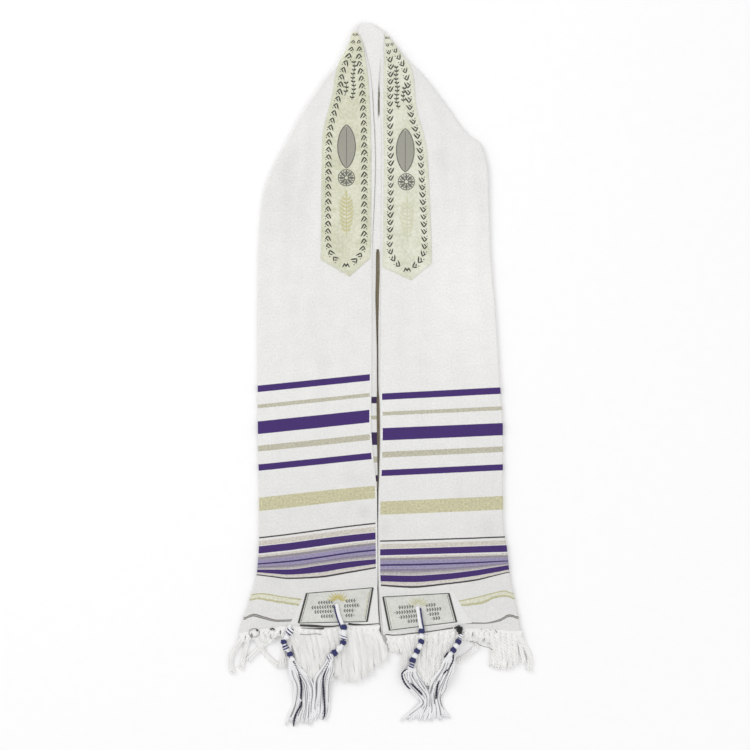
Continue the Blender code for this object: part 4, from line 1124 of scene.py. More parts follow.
LEFT_FRINGE = strands(
    (-211.5, -16.6, 54, -8.0, 1), (-203.0, -14.5, 50, 2.0, 1), (-193.0, 35.0, 50, -4.0, 1),
    (-183.5, 4.0, 13, 0.0, 1), (-175.0, 2.0, 15, 0.0, 1), (-166.5, -2.0, 13, 0.0, 1),
    (-158.5, -49.0, 44, 2.0, 1), (-149.5, -3.0, 54, 2.5, 1), (-141.5, 17.0, 60, 3.0, 0),
    (-132.5, 16.0, 72, 3.5, 0), (-123.5, 15.0, 76, 3.0, 0), (-114.5, 14.0, 76, 2.0, 0),
    (-105.5, 13.0, 84, 1.5, 0), (-96.5, 12.0, 84, 2.0, 0), (-87.5, 10.5, 76, 1.5, 0),
    (-78.5, 9.5, 70, 1.2, 0), (-69.5, 9.0, 78, 0.6, 0), (-60.5, 8.5, 76, 0.2, 0),
    (-51.5, 8.0, 80, 1.0, 0), (-42.5, 8.0, 78, 2.0, 0), (-33.5, 8.5, 72, 3.0, 0),
    (-24.5, 9.5, 66, 3.5, 0), (-15.5, 10.5, 54, 4.0, 0), (-7.0, 11.5, 46, 3.5, 0),
)
RIGHT_FRINGE = strands(
    (12.5, 2.5, 20, 1.0, 1), (21.5, 2.0, 22, 1.0, 1), (30.5, 6.0, 46, 3.0, 0),
    (39.5, 3.5, 54, 3.0, 0), (48.5, 1.5, 62, 2.0, 0), (57.5, 0.0, 66, 1.0, 0),
    (66.5, -2.0, 72, 1.0, 0), (75.5, -3.0, 76, -1.0, 0), (84.5, -4.5, 74, -1.5, 0),
    (93.5, -6.0, 70, -2.0, 0), (102.5, -7.5, 62, -2.0, 0), (111.5, -8.5, 52, -2.5, 0),
    (120.5, -10.0, 40, -2.5, 0), (129.5, -8.0, 16, 0.0, 1), (138.0, -3.0, 10, 0.0, 1),
    (146.5, 0.0, 12, 0.0, 1), (154.0, -34.0, 43, 7.0, 1), (162.0, 2.0, 14, 0.0, 1),
    (169.5, -2.5, 51, 3.0, 1), (178.5, -0.5, 53, 2.0, 1), (187.5, 0.5, 53, 1.0, 1),
    (196.5, 0.5, 52, 1.5, 1), (204.5, 1.0, 46, 1.5, 1), (211.0, 18.5, 53, 5.0, 1),
)
LEFT_UNDER = strands(
    (-126.0, 14.0, 78, 2.0, 1), (-115.5, 13.0, 86, 2.0, 1), (-105.0, 12.0, 82, 1.0, 1),
    (-94.5, 11.0, 72, 2.0, 1), (-84.0, 9.5, 66, 0.0, 1), (-73.5, 8.5, 70, 1.5, 1),
    (-63.0, 8.0, 72, -1.5, 1), (-52.5, 8.0, 74, 1.0, 1), (-42.0, 8.5, 70, 2.0, 1),
    (-31.5, 9.0, 64, 3.0, 1),
)
RIGHT_UNDER = strands(
    (36.0, 4.0, 44, 2.0, 1), (46.5, 2.0, 52, 2.0, 1), (57.0, 0.0, 58, 1.0, 1),
    (67.5, -2.0, 66, 1.0, 1), (78.0, -3.5, 70, -1.0, 1), (88.5, -5.0, 66, -1.5, 1),
    (99.0, -7.0, 58, -2.0, 1),
)
UPPER_REST, FILL_REST, LOWER_REST = 5.4, 4.6, 2.35     # heights at which strands come to rest
DROP = 14.0               # length over which a strand comes down to its rest
HEADING = 7.5             # how far below the hem the knots sit
TURNED = 1.2              # how far above the hem its threads come out
HEADING_THREADS = (-4.9, -3.5, -2.1, -0.7, 0.7, 2.1, 3.5, 4.9)     # beside each knot
HEADING_RUN = (           # share of that reach, how far down it is, how much lower, radius
    (1.0, 0.0, 0.0, 0.85), (0.85, 4.0, 0.0, 0.8), (0.45, 8.5, 0.0, 0.8), (0.8, 15, 0.6, 0.6))
print("strands:", [len(table) for table in (LEFT_FRINGE, RIGHT_FRINGE, LEFT_UNDER, RIGHT_UNDER)])

# %% A strand and what is wound round it
chance = random.Random(7)


def strand_path(leg, strand, setback, root_z, rest):
    """The middle line of one fringe strand, from its knot to its end."""
    start = hem_down(leg, strand.root) - setback + HEADING
    sway, beat, bends = chance.uniform(1.0, 3.2), chance.uniform(0, 6.28), chance.uniform(4, 8)
    path = []
    for step in range(13):
        t = step / 12
        x = (strand.root + strand.sideways * t + strand.bow * math.sin(math.pi * t)
             + sway * math.sin(beat + bends * t) * t)
        z = rest + (root_z - rest) * max(0.0, 1 - strand.length * t / DROP)
        path.append(on_shawl(x, start + strand.length * t, z))
    return path


def coil(spot, along, reach, size, thread, turns=3, phase=0.0):
    """A thread wound round a cord, fullest in the middle."""
    side = Vector((along.y, -along.x, 0)).normalized()
    stroke = []
    for step in range(8 * turns + 1):
        t = step / (8 * turns)
        angle = 2 * math.pi * turns * t + phase
        swell = size * (0.72 + 0.28 * math.sin(math.pi * t))
        stroke.append(Knot(spot + along * reach * (t - 0.5) + side * math.cos(angle) * swell
                           + Vector((0, 0, math.sin(angle) * swell * 0.6)), thread))
    return stroke


def stray_fibres(path, count):
    """Fine fibres that have worked loose and wander over a strand."""
    strokes = []
    for _ in range(count):
        aside, swing = chance.uniform(-4.2, 4.2), chance.uniform(0.8, 2.4)
        beat, first = chance.uniform(0, 6.28), chance.randrange(0, 4)
        strokes.append([
            Knot(spot + Vector((aside + swing * math.sin(beat + 0.9 * index), 0,
                                1.9 + 0.5 * math.sin(beat + index))), 0.42)
            for index, spot in enumerate(path[first:], first)])
    return strokes


def between(table):
    """Strands that fill the gaps of a dense fringe from just below."""
    return [Strand((a.root + b.root) / 2, (a.sideways + b.sideways) / 2,
                   min(a.length, b.length) * 0.94, (a.bow + b.bow) / 2, min(a.low, b.low))
            for a, b in zip(table, table[1:])
            if b.root - a.root < 12 and (a.root > -150 or min(a.length, b.length) < 20)]

# %% The fringes
def fringe(name, leg, table, setback, root_z):
    """One fringe: slanting hem threads, a knot and a plied strand for each row."""
    strokes = []
    for strand in table:
        path = strand_path(leg, strand, setback, root_z,
                           LOWER_REST if strand.low else UPPER_REST)
        strokes += ply(path, count=4, turn=19.0, spread=2.6, radius=1.5, flat=0.24, loose=0.6,
                       phase=chance.uniform(0, 6))
        strokes += stray_fibres(path, 3 if strand.low else 6)
        strokes.append(coil(path[0], (path[1] - path[0]).normalized(), 4.6, 2.6, 1.0))
        for reach in HEADING_THREADS:
            edge = hem_down(leg, strand.root + reach) - setback - TURNED
            strokes.append([Knot(on_shawl(strand.root + reach * share, edge + below,
                                          root_z - lower), radius)
                            for share, below, lower, radius in HEADING_RUN])
    for strand in between(table):
        rest = LOWER_REST if strand.low else FILL_REST
        path = strand_path(leg, strand, setback, max(2.0, root_z - 1.2), rest)
        strokes += ply(path, count=3, turn=17.0, spread=2.5, radius=1.5, flat=0.25,
                       phase=chance.uniform(0, 6))
        for reach in (-3.3, -1.1, 1.1, 3.3):
            edge = hem_down(leg, strand.root + reach) - setback - TURNED
            strokes.append([Knot(on_shawl(strand.root + reach, edge + far, root_z - 0.9), 1.15)
                            for far in (0.0, 12.0)])
    draw_yarn(f"{leg.name}_{name}", strokes, white_yarn, f"{name}_{leg.name}")


HEM_Z, UNDER_Z = face(HEM_DOWN) - 0.6, 2.9     # heights of the two hems
UNDER_SETBACK = 2.0       # how much sooner the hem underneath ends
for name, leg, table, setback, root_z in (
        ("hem_fringe", LEFT, LEFT_FRINGE, 0.0, HEM_Z),
        ("hem_fringe", RIGHT, RIGHT_FRINGE, 0.0, HEM_Z),
        ("under_fringe", LEFT, LEFT_UNDER, UNDER_SETBACK, UNDER_Z),
        ("under_fringe", RIGHT, RIGHT_UNDER, UNDER_SETBACK, UNDER_Z)):
    fringe(name, leg, table, setback, root_z)

# %% Loose threads, eyelets and a painted shadow line at the heading
def loose_threads(name, runs, radius, finish):
    """Single threads that lie on the heading of the fringe; a run can also be a line of painted
    shadow.
    """
    draw_yarn(name, [[Knot(on_shawl(x, down, HEM_Z + 2.2), radius) for x, down in run]
                     for run in runs], finish)


EYELET = [(-193.9 + 8.2 * math.cos(turn), 933.0 + 6.6 * math.sin(turn))
          for turn in (math.pi * step / 8 for step in range(17))]
loose_threads("left_heading_thread", [
    [(-124 + 8.2 * step, 935.2 + 0.7 * math.sin(step * 1.7)) for step in range(5)], EYELET,
    [(-168.5, 935.0), (-170.0, 939.0), (-167.0, 942.5)]], 0.36, slate)
loose_threads("left_heading_eyes", [[(-190.6, 927.8), (-188.6, 930.6)],
                                    [(-169.8, 927.8), (-166.0, 926.4), (-162.6, 928.2)]],
              1.15, ink)
# the first run on the right is painted shadow: a dark line along the foot of the heading
loose_threads("right_heading_thread_and_painted_shadow", [
    [(135.2, 946.4), (141.5, 947.0), (147.0, 948.2), (150.5, 951.6), (158.0, 954.0),
     (164.6, 955.4), (171.2, 959.3)], [(139.8, 932.0), (140.2, 938.4)],
    [(153.0, 927.2), (154.2, 928.6)], [(160.0, 929.6), (161.4, 930.0)],
    [(166.6, 928.6), (168.0, 928.9)], [(174.0, 928.6), (177.6, 932.6)]], 0.45, slate)

# %% [markdown]
# ## The corner tassels
#
# A tzitzit is a white cord and a blue thread, drawn through a hole near the corner and doubled.
# It is wound and knotted into a row of beads, some blue, some white and some of both, and below
# the last one its strands hang free. The blue strand shows only where no white one lies over it.
# Thin grey lines laid beside every other strand of the fan are painted shadow between the strands.
# Each tassel is four pieces, three yarns and those grey lines, so that all follow the same path
# and each keeps its own finish.

# %% Tassel tables
# A row of a cord or a blue strand is its x, how far down it is and its height. A bead's is x,
# down, kind and size, and a row of the fan is down, its left and right sides and its height.
# "beside" is how far from the cord a blue thread runs along it, or 0 where none does.
Tassel = namedtuple("Tassel", "place beside cord beads blue fan")
TASSELS = [
    Tassel("left_front", -4.0,
           [(-67.9, 888.9, 10.4), (-65.6, 901.0, 10.5), (-62.0, 912.5, 10.7), (-58.0, 923.0, 11.2),
            (-57.0, 935.0, 11.2), (-57.6, 948.0, 11.2), (-66.0, 959.5, 11.2),
            (-77.0, 968.4, 10.9)],
           [(-57.2, 924.2, "blue", 5.0), (-56.9, 932.0, "white", 4.3), (-57.0, 938.8, "pale", 4.2),
            (-57.8, 947.4, "blue", 4.4), (-63.0, 955.6, "white", 4.2), (-71.2, 963.4, "blue", 5.1),
            (-78.4, 969.4, "pale", 3.6)],
           [[(-78.0, 974.0, 10.8), (-84.0, 989.0, 10.4), (-88.4, 1003.7, 10.6),
             (-87.7, 1027.0, 7.4), (-86.0, 1053.7, 4.6), (-88.6, 1066.5, 2.4)]],
           [(978, -84.0, -73.5, 9.8), (990, -94.5, -73.5, 9.2), (1005, -101.5, -76.5, 8.2),
            (1028, -103.0, -78.0, 4.4), (1051, -105.0, -80.3, 2.1), (1067, -104.5, -83.0, 2.1)]),
    Tassel("left_back", 0.0,
           [(-139.0, 921.0, 8.4), (-141.5, 931.0, 10.6), (-148.0, 948.0, 11.0),
            (-138.8, 965.9, 11.0), (-136.5, 972.5, 10.6)],
           [(-139.6, 930.6, "pale", 5.2), (-144.4, 939.0, "white", 3.6),
            (-148.6, 946.6, "blue", 4.2), (-145.6, 955.6, "both", 3.9),
            (-139.0, 965.4, "blue", 4.5), (-135.6, 973.4, "white", 3.4)],
           [[(-135.4, 972.6, 11.6), (-129.3, 985.3, 10.8), (-124.7, 997.6, 10.2),
             (-121.5, 1015.9, 10.2), (-122.4, 1030.8, 7.0), (-122.4, 1037.0, 2.6),
             (-122.4, 1043.9, 5.4), (-128.5, 1054.2, 4.2), (-133.1, 1068.0, 3.6),
             (-133.9, 1076.8, 2.4)]],
           [(983, -140.5, -127.0, 9.6), (998, -137.7, -113.0, 8.8), (1012, -134.5, -103.0, 7.8),
            (1027, -134.0, -103.0, 4.6), (1046, -137.0, -104.0, 1.8), (1060, -143.4, -103.8, 1.8),
            (1075, -148.4, -104.0, 1.8)]),
    Tassel("right_front", 4.0,
           [(55.8, 893.0, 10.4), (57.6, 905.0, 10.5), (59.4, 917.0, 10.7), (61.6, 929.0, 11.2),
            (61.7, 946.0, 11.2), (55.0, 961.0, 11.2), (48.2, 974.8, 11.2), (45.8, 984.6, 10.8)],
           [(61.9, 930.2, "blue", 4.5), (61.7, 938.2, "white", 3.8), (61.5, 946.0, "blue", 4.5),
            (58.8, 953.8, "white", 3.8), (55.0, 960.8, "blue", 4.6), (51.8, 967.8, "white", 3.9),
            (48.2, 974.8, "blue", 4.9), (46.2, 983.4, "both", 3.6)],
           [[(43.0, 987.0, 11.0), (36.0, 990.5, 10.8), (32.0, 996.0, 10.6), (34.6, 1006.7, 10.2),
             (40.6, 1015.4, 9.4), (48.0, 1021.0, 5.0)],
            [(40.0, 1003.0, 8.4), (46.7, 1011.3, 10.2), (58.9, 1022.8, 9.0), (64.0, 1030.0, 4.6)]],
           [(990, 38.0, 54.0, 10.0), (998, 33.0, 58.5, 9.4), (1013, 38.0, 68.0, 8.4),
            (1028, 52.0, 75.0, 5.2), (1040, 60.0, 76.0, 4.4), (1054, 46.0, 76.0, 2.2),
            (1068, 29.1, 74.0, 1.8)]),
    Tassel("right_back", 0.0,
           [(121.2, 929.0, 8.6), (121.6, 935.0, 10.6), (118.4, 946.0, 11.0), (110.8, 958.6, 11.0),
            (105.0, 967.0, 10.6)],
           [(121.4, 938.0, "pale", 3.2), (118.2, 946.2, "blue", 4.6), (114.5, 952.6, "white", 3.5),
            (110.5, 959.2, "blue", 4.6), (105.8, 966.0, "white", 3.6)],
           [[(110.4, 966.0, 11.8), (109.6, 975.6, 11.2), (104.0, 986.9, 10.6), (95.6, 994.8, 10.0),
             (90.0, 1000.0, 8.0), (88.0, 1006.0, 9.2), (85.4, 1020.5, 6.2), (84.9, 1029.0, 5.6),
             (84.0, 1036.0, 2.0)],
            [(103.4, 962.0, 11.2), (100.0, 965.6, 11.2), (97.0, 970.0, 10.6)]],
           [(975, 96.0, 112.0, 9.6), (990, 90.0, 109.0, 9.0), (1005, 79.0, 103.0, 8.2),
            (1020, 73.5, 98.7, 3.8), (1034, 73.0, 93.0, 2.0), (1051, 72.5, 98.0, 1.8),
            (1068, 66.0, 107.8, 1.8)]),
]
FAN_STRANDS = 13
BEAD_Z = 11.2             # height of the beads' middles
print("beads in each tassel:", [len(plan.beads) for plan in TASSELS])

# %% Rounded paths and wound beads
def rounded(points, between=4):
    """A path through points with its corners rounded."""
    path = []
    for index in range(len(points) - 1):
        before, start = points[max(0, index - 1)], points[index]
        stop, after = points[index + 1], points[min(len(points) - 1, index + 2)]
        for step in range(between):
            t = step / between
            path.append(0.5 * (2 * start + (stop - before) * t
                               + (2 * before - 5 * start + 4 * stop - after) * t * t
                               + (3 * start - before - 3 * stop + after) * t ** 3))
    return path + [points[-1]]


def wind_beads(plan, white, blue):
    """Wind the beads of a tassel; a bead of both colours has two threads side by side."""
    spots = [on_shawl(x, down, BEAD_Z) for x, down, _, _ in plan.beads]
    for index, (spot, (_, _, kind, size)) in enumerate(zip(spots, plan.beads)):
        first = min(index, len(spots) - 2)
        along = (spots[first + 1] - spots[first]).normalized()
        reach = size * 1.55
        if kind in ("both", "pale"):
            over, under = (blue, white) if kind == "both" else (white, blue)
            over.append(coil(spot, along, reach, size * 0.86, 1.9, 2))
            under.append(coil(spot, along, reach, size * 0.82, 1.75, 2, math.pi))
        else:
            target = blue if kind == "blue" else white
            target.append(coil(spot, along, reach, size * 0.82, 1.4, 3))
            target.append(coil(spot, along, reach * 0.5, size * 0.95, 1.3, 2, 1.0))

# %% The corner tassels
def tassel(plan):
    """A corner tassel: doubled cord, wound beads and a fan of loose strands."""
    white, blue, navy, grey = [], [], [], []
    cord = rounded([on_shawl(*row) for row in plan.cord])
    white += ply(cord, count=3, turn=9.0, spread=1.7 if plan.beside else 1.2, radius=1.5,
                 flat=0.35)
    if plan.beside:
        blue.append([Knot(spot + Vector((plan.beside, 0, 0.2)), 1.15) for spot in cord[1:14]])
    wind_beads(plan, white, blue)
    for strand in range(FAN_STRANDS):
        share = (strand + 0.5) / FAN_STRANDS
        points = [cord[-1] + Vector(((share - 0.5) * 5.0, 0, 0))]
        for step, (down, left, right, z) in enumerate(plan.fan):
            stray = chance.uniform(-1.8, 1.8) if step else 0.0
            lift = 1.0 if strand % 3 == 1 and z > 2.2 else 0.0
            points.append(on_shawl(part_way(left, right, share) + stray,
                                   down + chance.uniform(-1, 1), z + lift))
        points[-1] = points[-1] + Vector((0, chance.uniform(-1.5, 5.0), 0))
        middle = rounded(points)
        white += ply(middle, count=2, turn=8.5, spread=0.8, radius=1.05, flat=0.6, loose=0.7,
                     phase=chance.uniform(0, 6))
        # every other fan strand gets a thin grey line beside it: painted shadow between the
        # strands
        if strand % 2:
            first, last = chance.randrange(3, 9), -chance.randrange(2, 7)
            grey.append([Knot(spot + Vector((1.5, 0, 1.25)), 0.46)
                         for spot in middle[first:last]])
    for path in plan.blue:
        navy += ply(rounded([on_shawl(*row) for row in path]), count=2, turn=9.0, spread=0.6,
                    radius=0.95, flat=0.6)
    name = f"{plan.place}_tassel"
    draw_yarn(name, white, white_cord, f"tzitzit_{plan.place}")
    draw_yarn(name + "_blue_thread", blue, blue_cord)
    draw_yarn(name + "_navy_strand", navy, navy_cord)
    draw_yarn(name + "_grey_strands", grey, painted_shadow_cord)


for plan in TASSELS:
    tassel(plan)
down_cloth = Vector((0.0, -1.0, 0.0))
draw_yarn("right_back_dark_knot", [
    coil(on_shawl(120.0, 927.0, 11.0), down_cloth, 6.5, 4.0, 1.5),
    coil(on_shawl(120.8, 932.6, 11.4), down_cloth, 5.0, 2.3, 1.2)], soot)

# %% [markdown]
# ## Thread work
#
# The neckband's border, its ornament and the patches' frames are worked in thread. A leaf in
# satin stitch is a short padded stroke that swells and tapers, so every motif here is a list of
# strokes with a width at each point. They are drawn on the cloth in its own measures, turned
# into a mesh and pressed half into the surface, as stitches sink into cloth.

# %% Drawing on the cloth
Mark = namedtuple("Mark", "x down width")
PRESSED = 0.4             # how much of a thread's height is left after pressing
PROUD = 0.12              # how far the pressed thread stands off the cloth


def thread_work(name, works, leg, finish, lift=LAYER, roundness=1):
    """Draw strokes of marks on one leg as a single piece, pressed into the cloth."""
    strokes = [[Knot(on_front(leg, mark.x, mark.down, lift) / MM, mark.width) for mark in marks]
               for marks in works]
    piece = draw_yarn(f"{leg.name}_{name}", strokes, finish, roundness=roundness)
    for vertex in piece.data.vertices:
        base = on_front(leg, vertex.co.x / MM, NECK_Y - vertex.co.y / MM, lift).z
        vertex.co.z = base + (vertex.co.z - base) * PRESSED + PROUD * MM


def leaf(x, down, angle, long, wide, bend):
    """A satin stitch leaf that starts at a place and points along an angle."""
    marks = []
    for share, swell in ((0, 0.25), (0.2, 0.75), (0.45, 1.0), (0.7, 0.8), (0.9, 0.4), (1, 0.12)):
        side = bend * long * math.sin(math.pi * share) * 0.5
        marks.append(Mark(x + long * share * math.cos(angle) - side * math.sin(angle),
                          down + long * share * math.sin(angle) + side * math.cos(angle),
                          wide * swell))
    return marks


def line(points, wide):
    """A plain stitched line through places on the cloth."""
    return [Mark(x, down, wide) for x, down in points]

# %% [markdown]
# The border is one small motif repeated every 11.3 mm: a long leaf and a short one that lean
# together like a roof, with a third inside and a small tip. It runs down both sides and meets
# in a round before the point, where a pair of roofs closes it. Each side is walked at equal
# steps, and the motif is turned to follow.

# %% The border's motif and its line
PITCH, MARGIN = 11.3, 10.4
ROUND_DEPTH, ROUND_STEPS = 36.0, 14      # the border turns in a round before the point
CLOSE = 8.5               # no motif stands nearer than this to the middle of the round
Stitch = namedtuple("Stitch", "inward ahead to_inward to_ahead wide bend")
MOTIF = [Stitch(0.0, -4.6, 4.7, 4.2, 1.2, 0.0), Stitch(0.2, -4.6, -4.9, 1.4, 1.05, 0.0),
         Stitch(-2.8, 0.0, 1.2, 3.8, 1.0, 0.0), Stitch(-5.0, 4.8, -3.6, 2.9, 0.65, 0.1)]
TIP_MOTIF = [Stitch(-5.6, 3.6, -2.6, -3.4, 1.0, 0.15), Stitch(5.6, 3.6, 2.6, -3.4, 1.0, -0.15),
             Stitch(-2.8, -2.6, 0.2, 3.0, 1.1, -0.1), Stitch(2.8, -2.6, -0.2, 3.0, 1.1, 0.1)]


def border_side(plan, outer):
    """One side's line of the border, from the neck into the middle of the round."""
    top, stop = plan.start + 5, band_end(plan, 0.5) - ROUND_DEPTH - 16
    path = []
    for step in range(61):
        down = part_way(top, stop, step / 60)
        margin = min(MARGIN, 0.27 * abs(plan.outer(down) - plan.inner(down)))
        far = plan.outer(down) - plan.leg.out * margin
        near = plan.inner(down) + plan.leg.out * margin
        path.append(Vector((far if outer else near, down, 0)))
    middle, side = (far + near) / 2, path[-1].x
    for step in range(1, ROUND_STEPS + 1):
        angle = math.pi / 2 * step / ROUND_STEPS
        path.append(Vector((middle + (side - middle) * math.cos(angle),
                            stop + ROUND_DEPTH * math.sin(angle), 0)))
    return path


def stitch_leaf(spot, inward, ahead, stitch, size=1.0):
    """A leaf between two places given along a motif's own two directions."""
    start = spot + (inward * stitch.inward + ahead * stitch.ahead) * size
    run = spot + (inward * stitch.to_inward + ahead * stitch.to_ahead) * size - start
    return leaf(start.x, start.y, math.atan2(run.y, run.x), run.length, stitch.wide * size,
                stitch.bend * (1 if inward.cross(ahead).z > 0 else -1))

# %% The border of both ends
def border(plan):
    """The border motifs of one end of the neckband, apex up on the left and down on the right."""
    works = []
    for outer in (True, False):
        path = border_side(plan, outer)
        end = path[-1]
        for spot, along in walk(path, PITCH)[:-1]:
            if (spot - end).length < CLOSE:
                continue
            inward = Vector((-along.y, along.x, 0))
            inward *= 1 if inward.x * (end.x - spot.x) > 0 else -1
            width = abs(plan.outer(spot.y) - plan.inner(spot.y))
            size = chance.uniform(0.94, 1.08) * min(1.0, 0.2 + width / 40)
            ahead = along if plan.leg is LEFT else -along
            works += [stitch_leaf(spot, inward, ahead, stitch, size) for stitch in MOTIF]
    works += [stitch_leaf(end + Vector((0, 2.5, 0)), Vector((1, 0, 0)), Vector((0, 1, 0)), stitch)
              for stitch in TIP_MOTIF]
    thread_work("neckband_border", works, plan.leg, charcoal)


border(LEFT_PLAN)
border(RIGHT_PLAN)

# %% [markdown]
# ## The ornament of the neckband
#
# Two vines climb from the shoulder to the neck. Below them come a long grey seed pod of slanting
# stitches, an eight petalled rosette in a ring, and a spray of gold leaves. They are common
# ornaments, drawn by rule rather than copied.

# %% Vines and rosettes
UP = -math.pi / 2         # the angle that points towards the neck


def vine(plan, share, start, stop):
    """A waving stem with leaves on both sides."""
    steps = int((stop - start) / 3)
    stem = []
    for step in range(steps + 1):
        down = part_way(start, stop, step / steps)
        stem.append((band_x(plan, share, down) + math.sin(2 * math.pi * down / 31.0), down))
    works = [line(stem, 0.45)]
    for x, down in stem[1:-1:2]:
        for side in (-1, 1):
            angle = UP + side * chance.uniform(0.75, 1.1)
            works.append(leaf(x, down, angle, chance.uniform(3.6, 4.8), 1.15, 0.2 * side))
    return works


def toward(x, down, angle, reach):
    """The place at a reach from another, along an angle."""
    return x + reach * math.cos(angle), down + reach * math.sin(angle)


def ring(x, down, radius, wide, count=28):
    """A round line."""
    return line([toward(x, down, 2 * math.pi / count * step, radius)
                 for step in range(count + 1)], wide)


def rosette(x, down, radius):
    """Eight petals round a small centre, with short ones between, in a ring."""
    works = [ring(x, down, radius, 0.55), ring(x, down, radius * 0.26, 0.7, 14)]
    for petal in range(8):
        for turn, first, long, wide in ((0, 0.3, 0.64, 0.17), (math.pi / 8, 0.62, 0.3, 0.07)):
            angle = math.pi * petal / 4 + turn
            works.append(leaf(*toward(x, down, angle, radius * first), angle, radius * long,
                              radius * wide, 0.0))
    return works

# %% Pods and sprays
def pod(x, down, half_wide, half_long):
    """A pointed oval: its outline, and slanting stitches that fill it like a leaf's veins."""
    def width(at):
        return half_wide * max(0.0, 1 - (at / half_long) ** 2) ** 0.7

    steps = [half_long * (step / 12 - 1) for step in range(25)]
    outline = [line([(x + side * width(at), down + at) for at in steps], 0.75) for side in (-1, 1)]
    outline.append(line([(x, down - half_long + 3), (x, down + half_long - 3)], 0.5))
    fill, at = [], -half_long + 3.0
    while at < half_long - 1.5:
        for side in (-1, 1):
            reach = width(at) - 0.4
            fill.append(line([(x + side * 0.4, down + at + 1.2),
                              (x + side * reach * 0.5, down + at + 0.4),
                              (x + side * reach, down + at - 0.9)], 0.74))
        at += 1.3
    return outline, fill


def spray(x, down, long, spread, wide=1.3):
    """A stem with paired leaves that open upwards."""
    works = [line([(x, down + long), (x, down + long * 0.1)], 0.6),
             leaf(x, down + long * 0.12, UP, long * 0.16, wide, 0.0)]
    for step in range(9):
        reach = spread * (0.62 + 0.38 * math.sin(math.pi * step / 8))
        for side in (-1, 1):
            works.append(leaf(x, down + long * (0.18 + 0.088 * step), UP + side * 0.9, reach,
                              wide, 0.3 * side))
    return works

# %% The ornament laid on both ends
def ornament(plan, vines, pod_down, rosette_down, gold_down, gold):
    """Vines in charcoal, a pod in stone, a rosette in slate and a spray in gold."""
    dark = [marks for row in vines for marks in vine(plan, *row)]
    outline, fill = pod(band_x(plan, 0.5, pod_down), pod_down, 13.5, 33.0)
    outline += rosette(band_x(plan, 0.5, rosette_down), rosette_down, 12.5)
    leaves = spray(band_x(plan, 0.5, gold_down + 30), gold_down, 68.0, 14.0)
    for name, works, finish, lift in (
            ("neckband_vine", dark, charcoal, LAYER), ("neckband_pod", fill, stone, LAYER),
            ("neckband_rosette", outline, slate, LAYER + 0.15),
            ("neckband_spray", leaves, gold, LAYER)):
        thread_work(name, works, plan.leg, finish, lift)


ornament(LEFT_PLAN, [(0.56, 58, 118), (0.35, 90, 112)], 189.0, 237.0, 258.0, old_gold)
ornament(RIGHT_PLAN, [(0.57, 66, 132), (0.36, 98, 122)], 195.0, 243.0, 266.0, straw)

# %% [markdown]
# ## Backings, frames and garlands of the patches
#
# Each patch is sewn on an oblong of white satin that covers the stripes of the corner. A dark
# cord frames the patch at its sides, a thin one at its top and foot. Inside, a gold palmette
# stands over rows of small laurels.

# %% The white backings
BACKING_LIFT, BACKING_CUT = 0.45, 0.3
left_backing, right_backing = (
    sew_oblong("patch_backing", leg, corners, 36, BACKING_LIFT, BACKING_CUT, backing_satin)
    for leg, corners in (
        (LEFT, ((-115.5, 869.4), (-5.9, 860.6), (-140.0, 921.0), (-3.8, 919.6))),
        (RIGHT, ((109.5, 869.2), (-0.9, 875.0), (139.0, 918.0), (3.0, 932.0)))))

# %% Garlands and palmettes
LAUREL_STEP = 3.9         # from one pair of leaves to the next


def patch_line(corners, points, wide):
    """A stitched line whose points are shares of the patch."""
    return line([patch_spot(corners, out, along) for out, along in points], wide)


def garland(corners, along, start, stop):
    """A short laurel across a patch: a stem with even pairs of leaves that all lean one way."""
    x, down = patch_spot(corners, start, along)
    end_x, end_down = patch_spot(corners, stop, along)
    turn = math.atan2(end_down - down, end_x - x)
    works = [line([(x, down), (end_x, end_down)], 0.3)]
    for index in range(int(math.hypot(end_x - x, end_down - down) / LAUREL_STEP)):
        root = toward(x, down, turn, 1.0 + LAUREL_STEP * index)
        works += [leaf(*root, turn + side * 0.8, 3.6, 0.85, 0.2 * side) for side in (-1, 1)]
    return works


def palmette(corners, out, along, wide, long):
    """A fan of leaves round a small centre."""
    x, down = patch_spot(corners, out, along)
    works = []
    for step in range(-4, 5):
        angle = UP + step * 0.36
        reach = part_way(long, wide, abs(math.sin(step * 0.36)) ** 1.5)
        works.append(leaf(x + 2.2 * math.cos(angle), down + 1.6 * math.sin(angle), angle, reach,
                          1.25, 0.05 * step))
    return works

# %% A frame for each patch
GARLANDS = (              # how far down the patch, and the shares where it starts and stops
    (0.35, 0.21, 0.45), (0.35, 0.62, 0.78), (0.50, 0.13, 0.47), (0.50, 0.61, 0.85),
    (0.65, 0.19, 0.48), (0.65, 0.62, 0.80), (0.80, 0.30, 0.5), (0.80, 0.66, 0.80))


def frame_patch(leg, corners, gold):
    """The cord round a patch, its laurels, its gold palmette and a row of gold dots."""
    tenths, sixteenths = [step / 10 for step in range(11)], [step / 16 for step in range(17)]
    sides = [patch_line(corners, [(out, share) for share in tenths], 1.4)
             for out in (0.004, 0.996)]
    sides += [patch_line(corners, [(share, along) for share in sixteenths], 0.55)
              for along in (0.0, 1.0)]
    sides += [patch_line(corners, [(out, 0.04 + 0.92 * share) for share in tenths], 0.3)
              for out in (0.035, 0.965)]
    laurels = []
    for along, start, stop in GARLANDS:
        if leg is RIGHT:
            start, stop = 1.02 - stop, 1.02 - start
        laurels += garland(corners, along, start, stop)
    leaves = palmette(corners, 0.5, 0.3, 15.0, 9.0)
    leaves += [leaf(*patch_spot(corners, 0.935, 0.14 + 0.058 * step), 0.0, 1.9, 0.7, 0.0)
               for step in range(13)]
    thread_work("patch_frame", sides, leg, ink)
    thread_work("patch_laurels", laurels, leg, slate, roundness=0)
    thread_work("patch_palmette", leaves, leg, gold, roundness=0)


frame_patch(LEFT, LEFT_CORNERS, patch_gold)
frame_patch(RIGHT, RIGHT_CORNERS, straw)
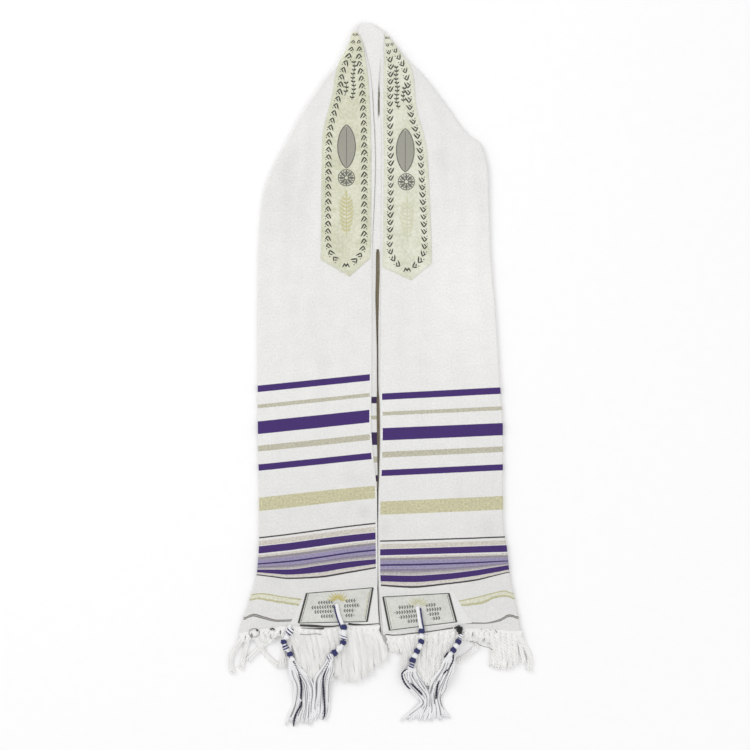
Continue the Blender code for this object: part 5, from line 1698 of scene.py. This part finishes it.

# %% [markdown]
# ## Hems and stitches
#
# The hem is turned over once. Ink lines run along it under each patch, a heavy wandering one on
# the left; the long run on the right is painted shadow along the hem's edge. Rows of small ivory
# stitches hold the neckband and the patches. A stitch is only a few millimetres long, so it is a
# stroke of three marks.

# %% Hem lines, one of them painted shadow
HEM_DARK_LINES = {             # x, how far down, and width at each point of a run
    "left": [[(-124, 921.5, 1.9), (-106, 922.3, 2.5), (-88, 923.6, 1.7),
              (-74, 923.4, 1.3), (-62, 921.9, 0.9)],
             [(-50, 919.2, 2.3), (-43, 920.3, 2.0), (-26, 920.8, 1.1),
              (-12, 919.6, 0.9), (-3, 918.8, 0.6)],
             [(-122, 925.6, 0.5), (-104, 926.6, 0.7), (-87, 926.9, 1.5)]],
    # the long first run on the right is painted shadow along the hem's edge
    "right": [[(6.9, 935.6, 0.9), (18, 936.6, 0.9), (30, 936.2, 0.8),
               (50, 933.6, 0.8), (70, 931.8, 0.9), (92, 928.4, 0.8),
               (110, 925.4, 1.0)],
              [(112, 926.0, 1.6), (119, 923.6, 3.6), (122, 928.0, 3.0),
               (121.5, 931.6, 1.2)]],
}
THINNED = 0.8             # share of those widths that the lines are drawn at
for leg in (LEFT, RIGHT):
    thread_work("hem_dark_line", [[Mark(x, down, wide * THINNED) for x, down, wide in run]
                             for run in HEM_DARK_LINES[leg.name]], leg, ink, lift=0.5)

# %% Running stitches
STITCH, STITCH_STEP = 2.6, 4.4     # a stitch's length, and from one stitch to the next


def running(path, wide=0.32):
    """Short stitches at equal steps along a path of places on the cloth."""
    works = []
    for spot, along in walk([Vector((x, down, 0)) for x, down in path], STITCH_STEP)[:-1]:
        end = spot + along * STITCH
        middle = (spot + end) / 2
        works.append([Mark(spot.x, spot.y, wide * 0.6), Mark(middle.x, middle.y, wide),
                      Mark(end.x, end.y, wide * 0.6)])
    return works


def band_edge(plan, inset):
    """The line a little inside the whole edge of one end of the neckband."""
    tip = band_end(plan, plan.tip) - inset * 1.2
    start, sides = plan.start + 4, []
    for edge, share, inward in ((plan.outer, 0, -plan.leg.out), (plan.inner, 1, plan.leg.out)):
        stop = band_end(plan, share) - inset * 0.6
        downs = [part_way(start, stop, step / 40) for step in range(41)]
        sides.append([(edge(down) + inward * inset, down) for down in downs])
    return [*sides[0], (band_x(plan, plan.tip, tip), tip), *reversed(sides[1])]


for plan in (LEFT_PLAN, RIGHT_PLAN):
    thread_work("neckband_stitches", running(band_edge(plan, 1.7)), plan.leg, ivory,
                roundness=0)
for leg, corners in ((LEFT, LEFT_CORNERS), (RIGHT, RIGHT_CORNERS)):
    sides = [patch_spot(corners, out, along) for out, along in
             ((0.02, 0.03), (0.98, 0.03), (0.98, 0.97), (0.02, 0.97), (0.02, 0.03))]
    thread_work("patch_stitches", running(sides), leg, ivory, roundness=0)
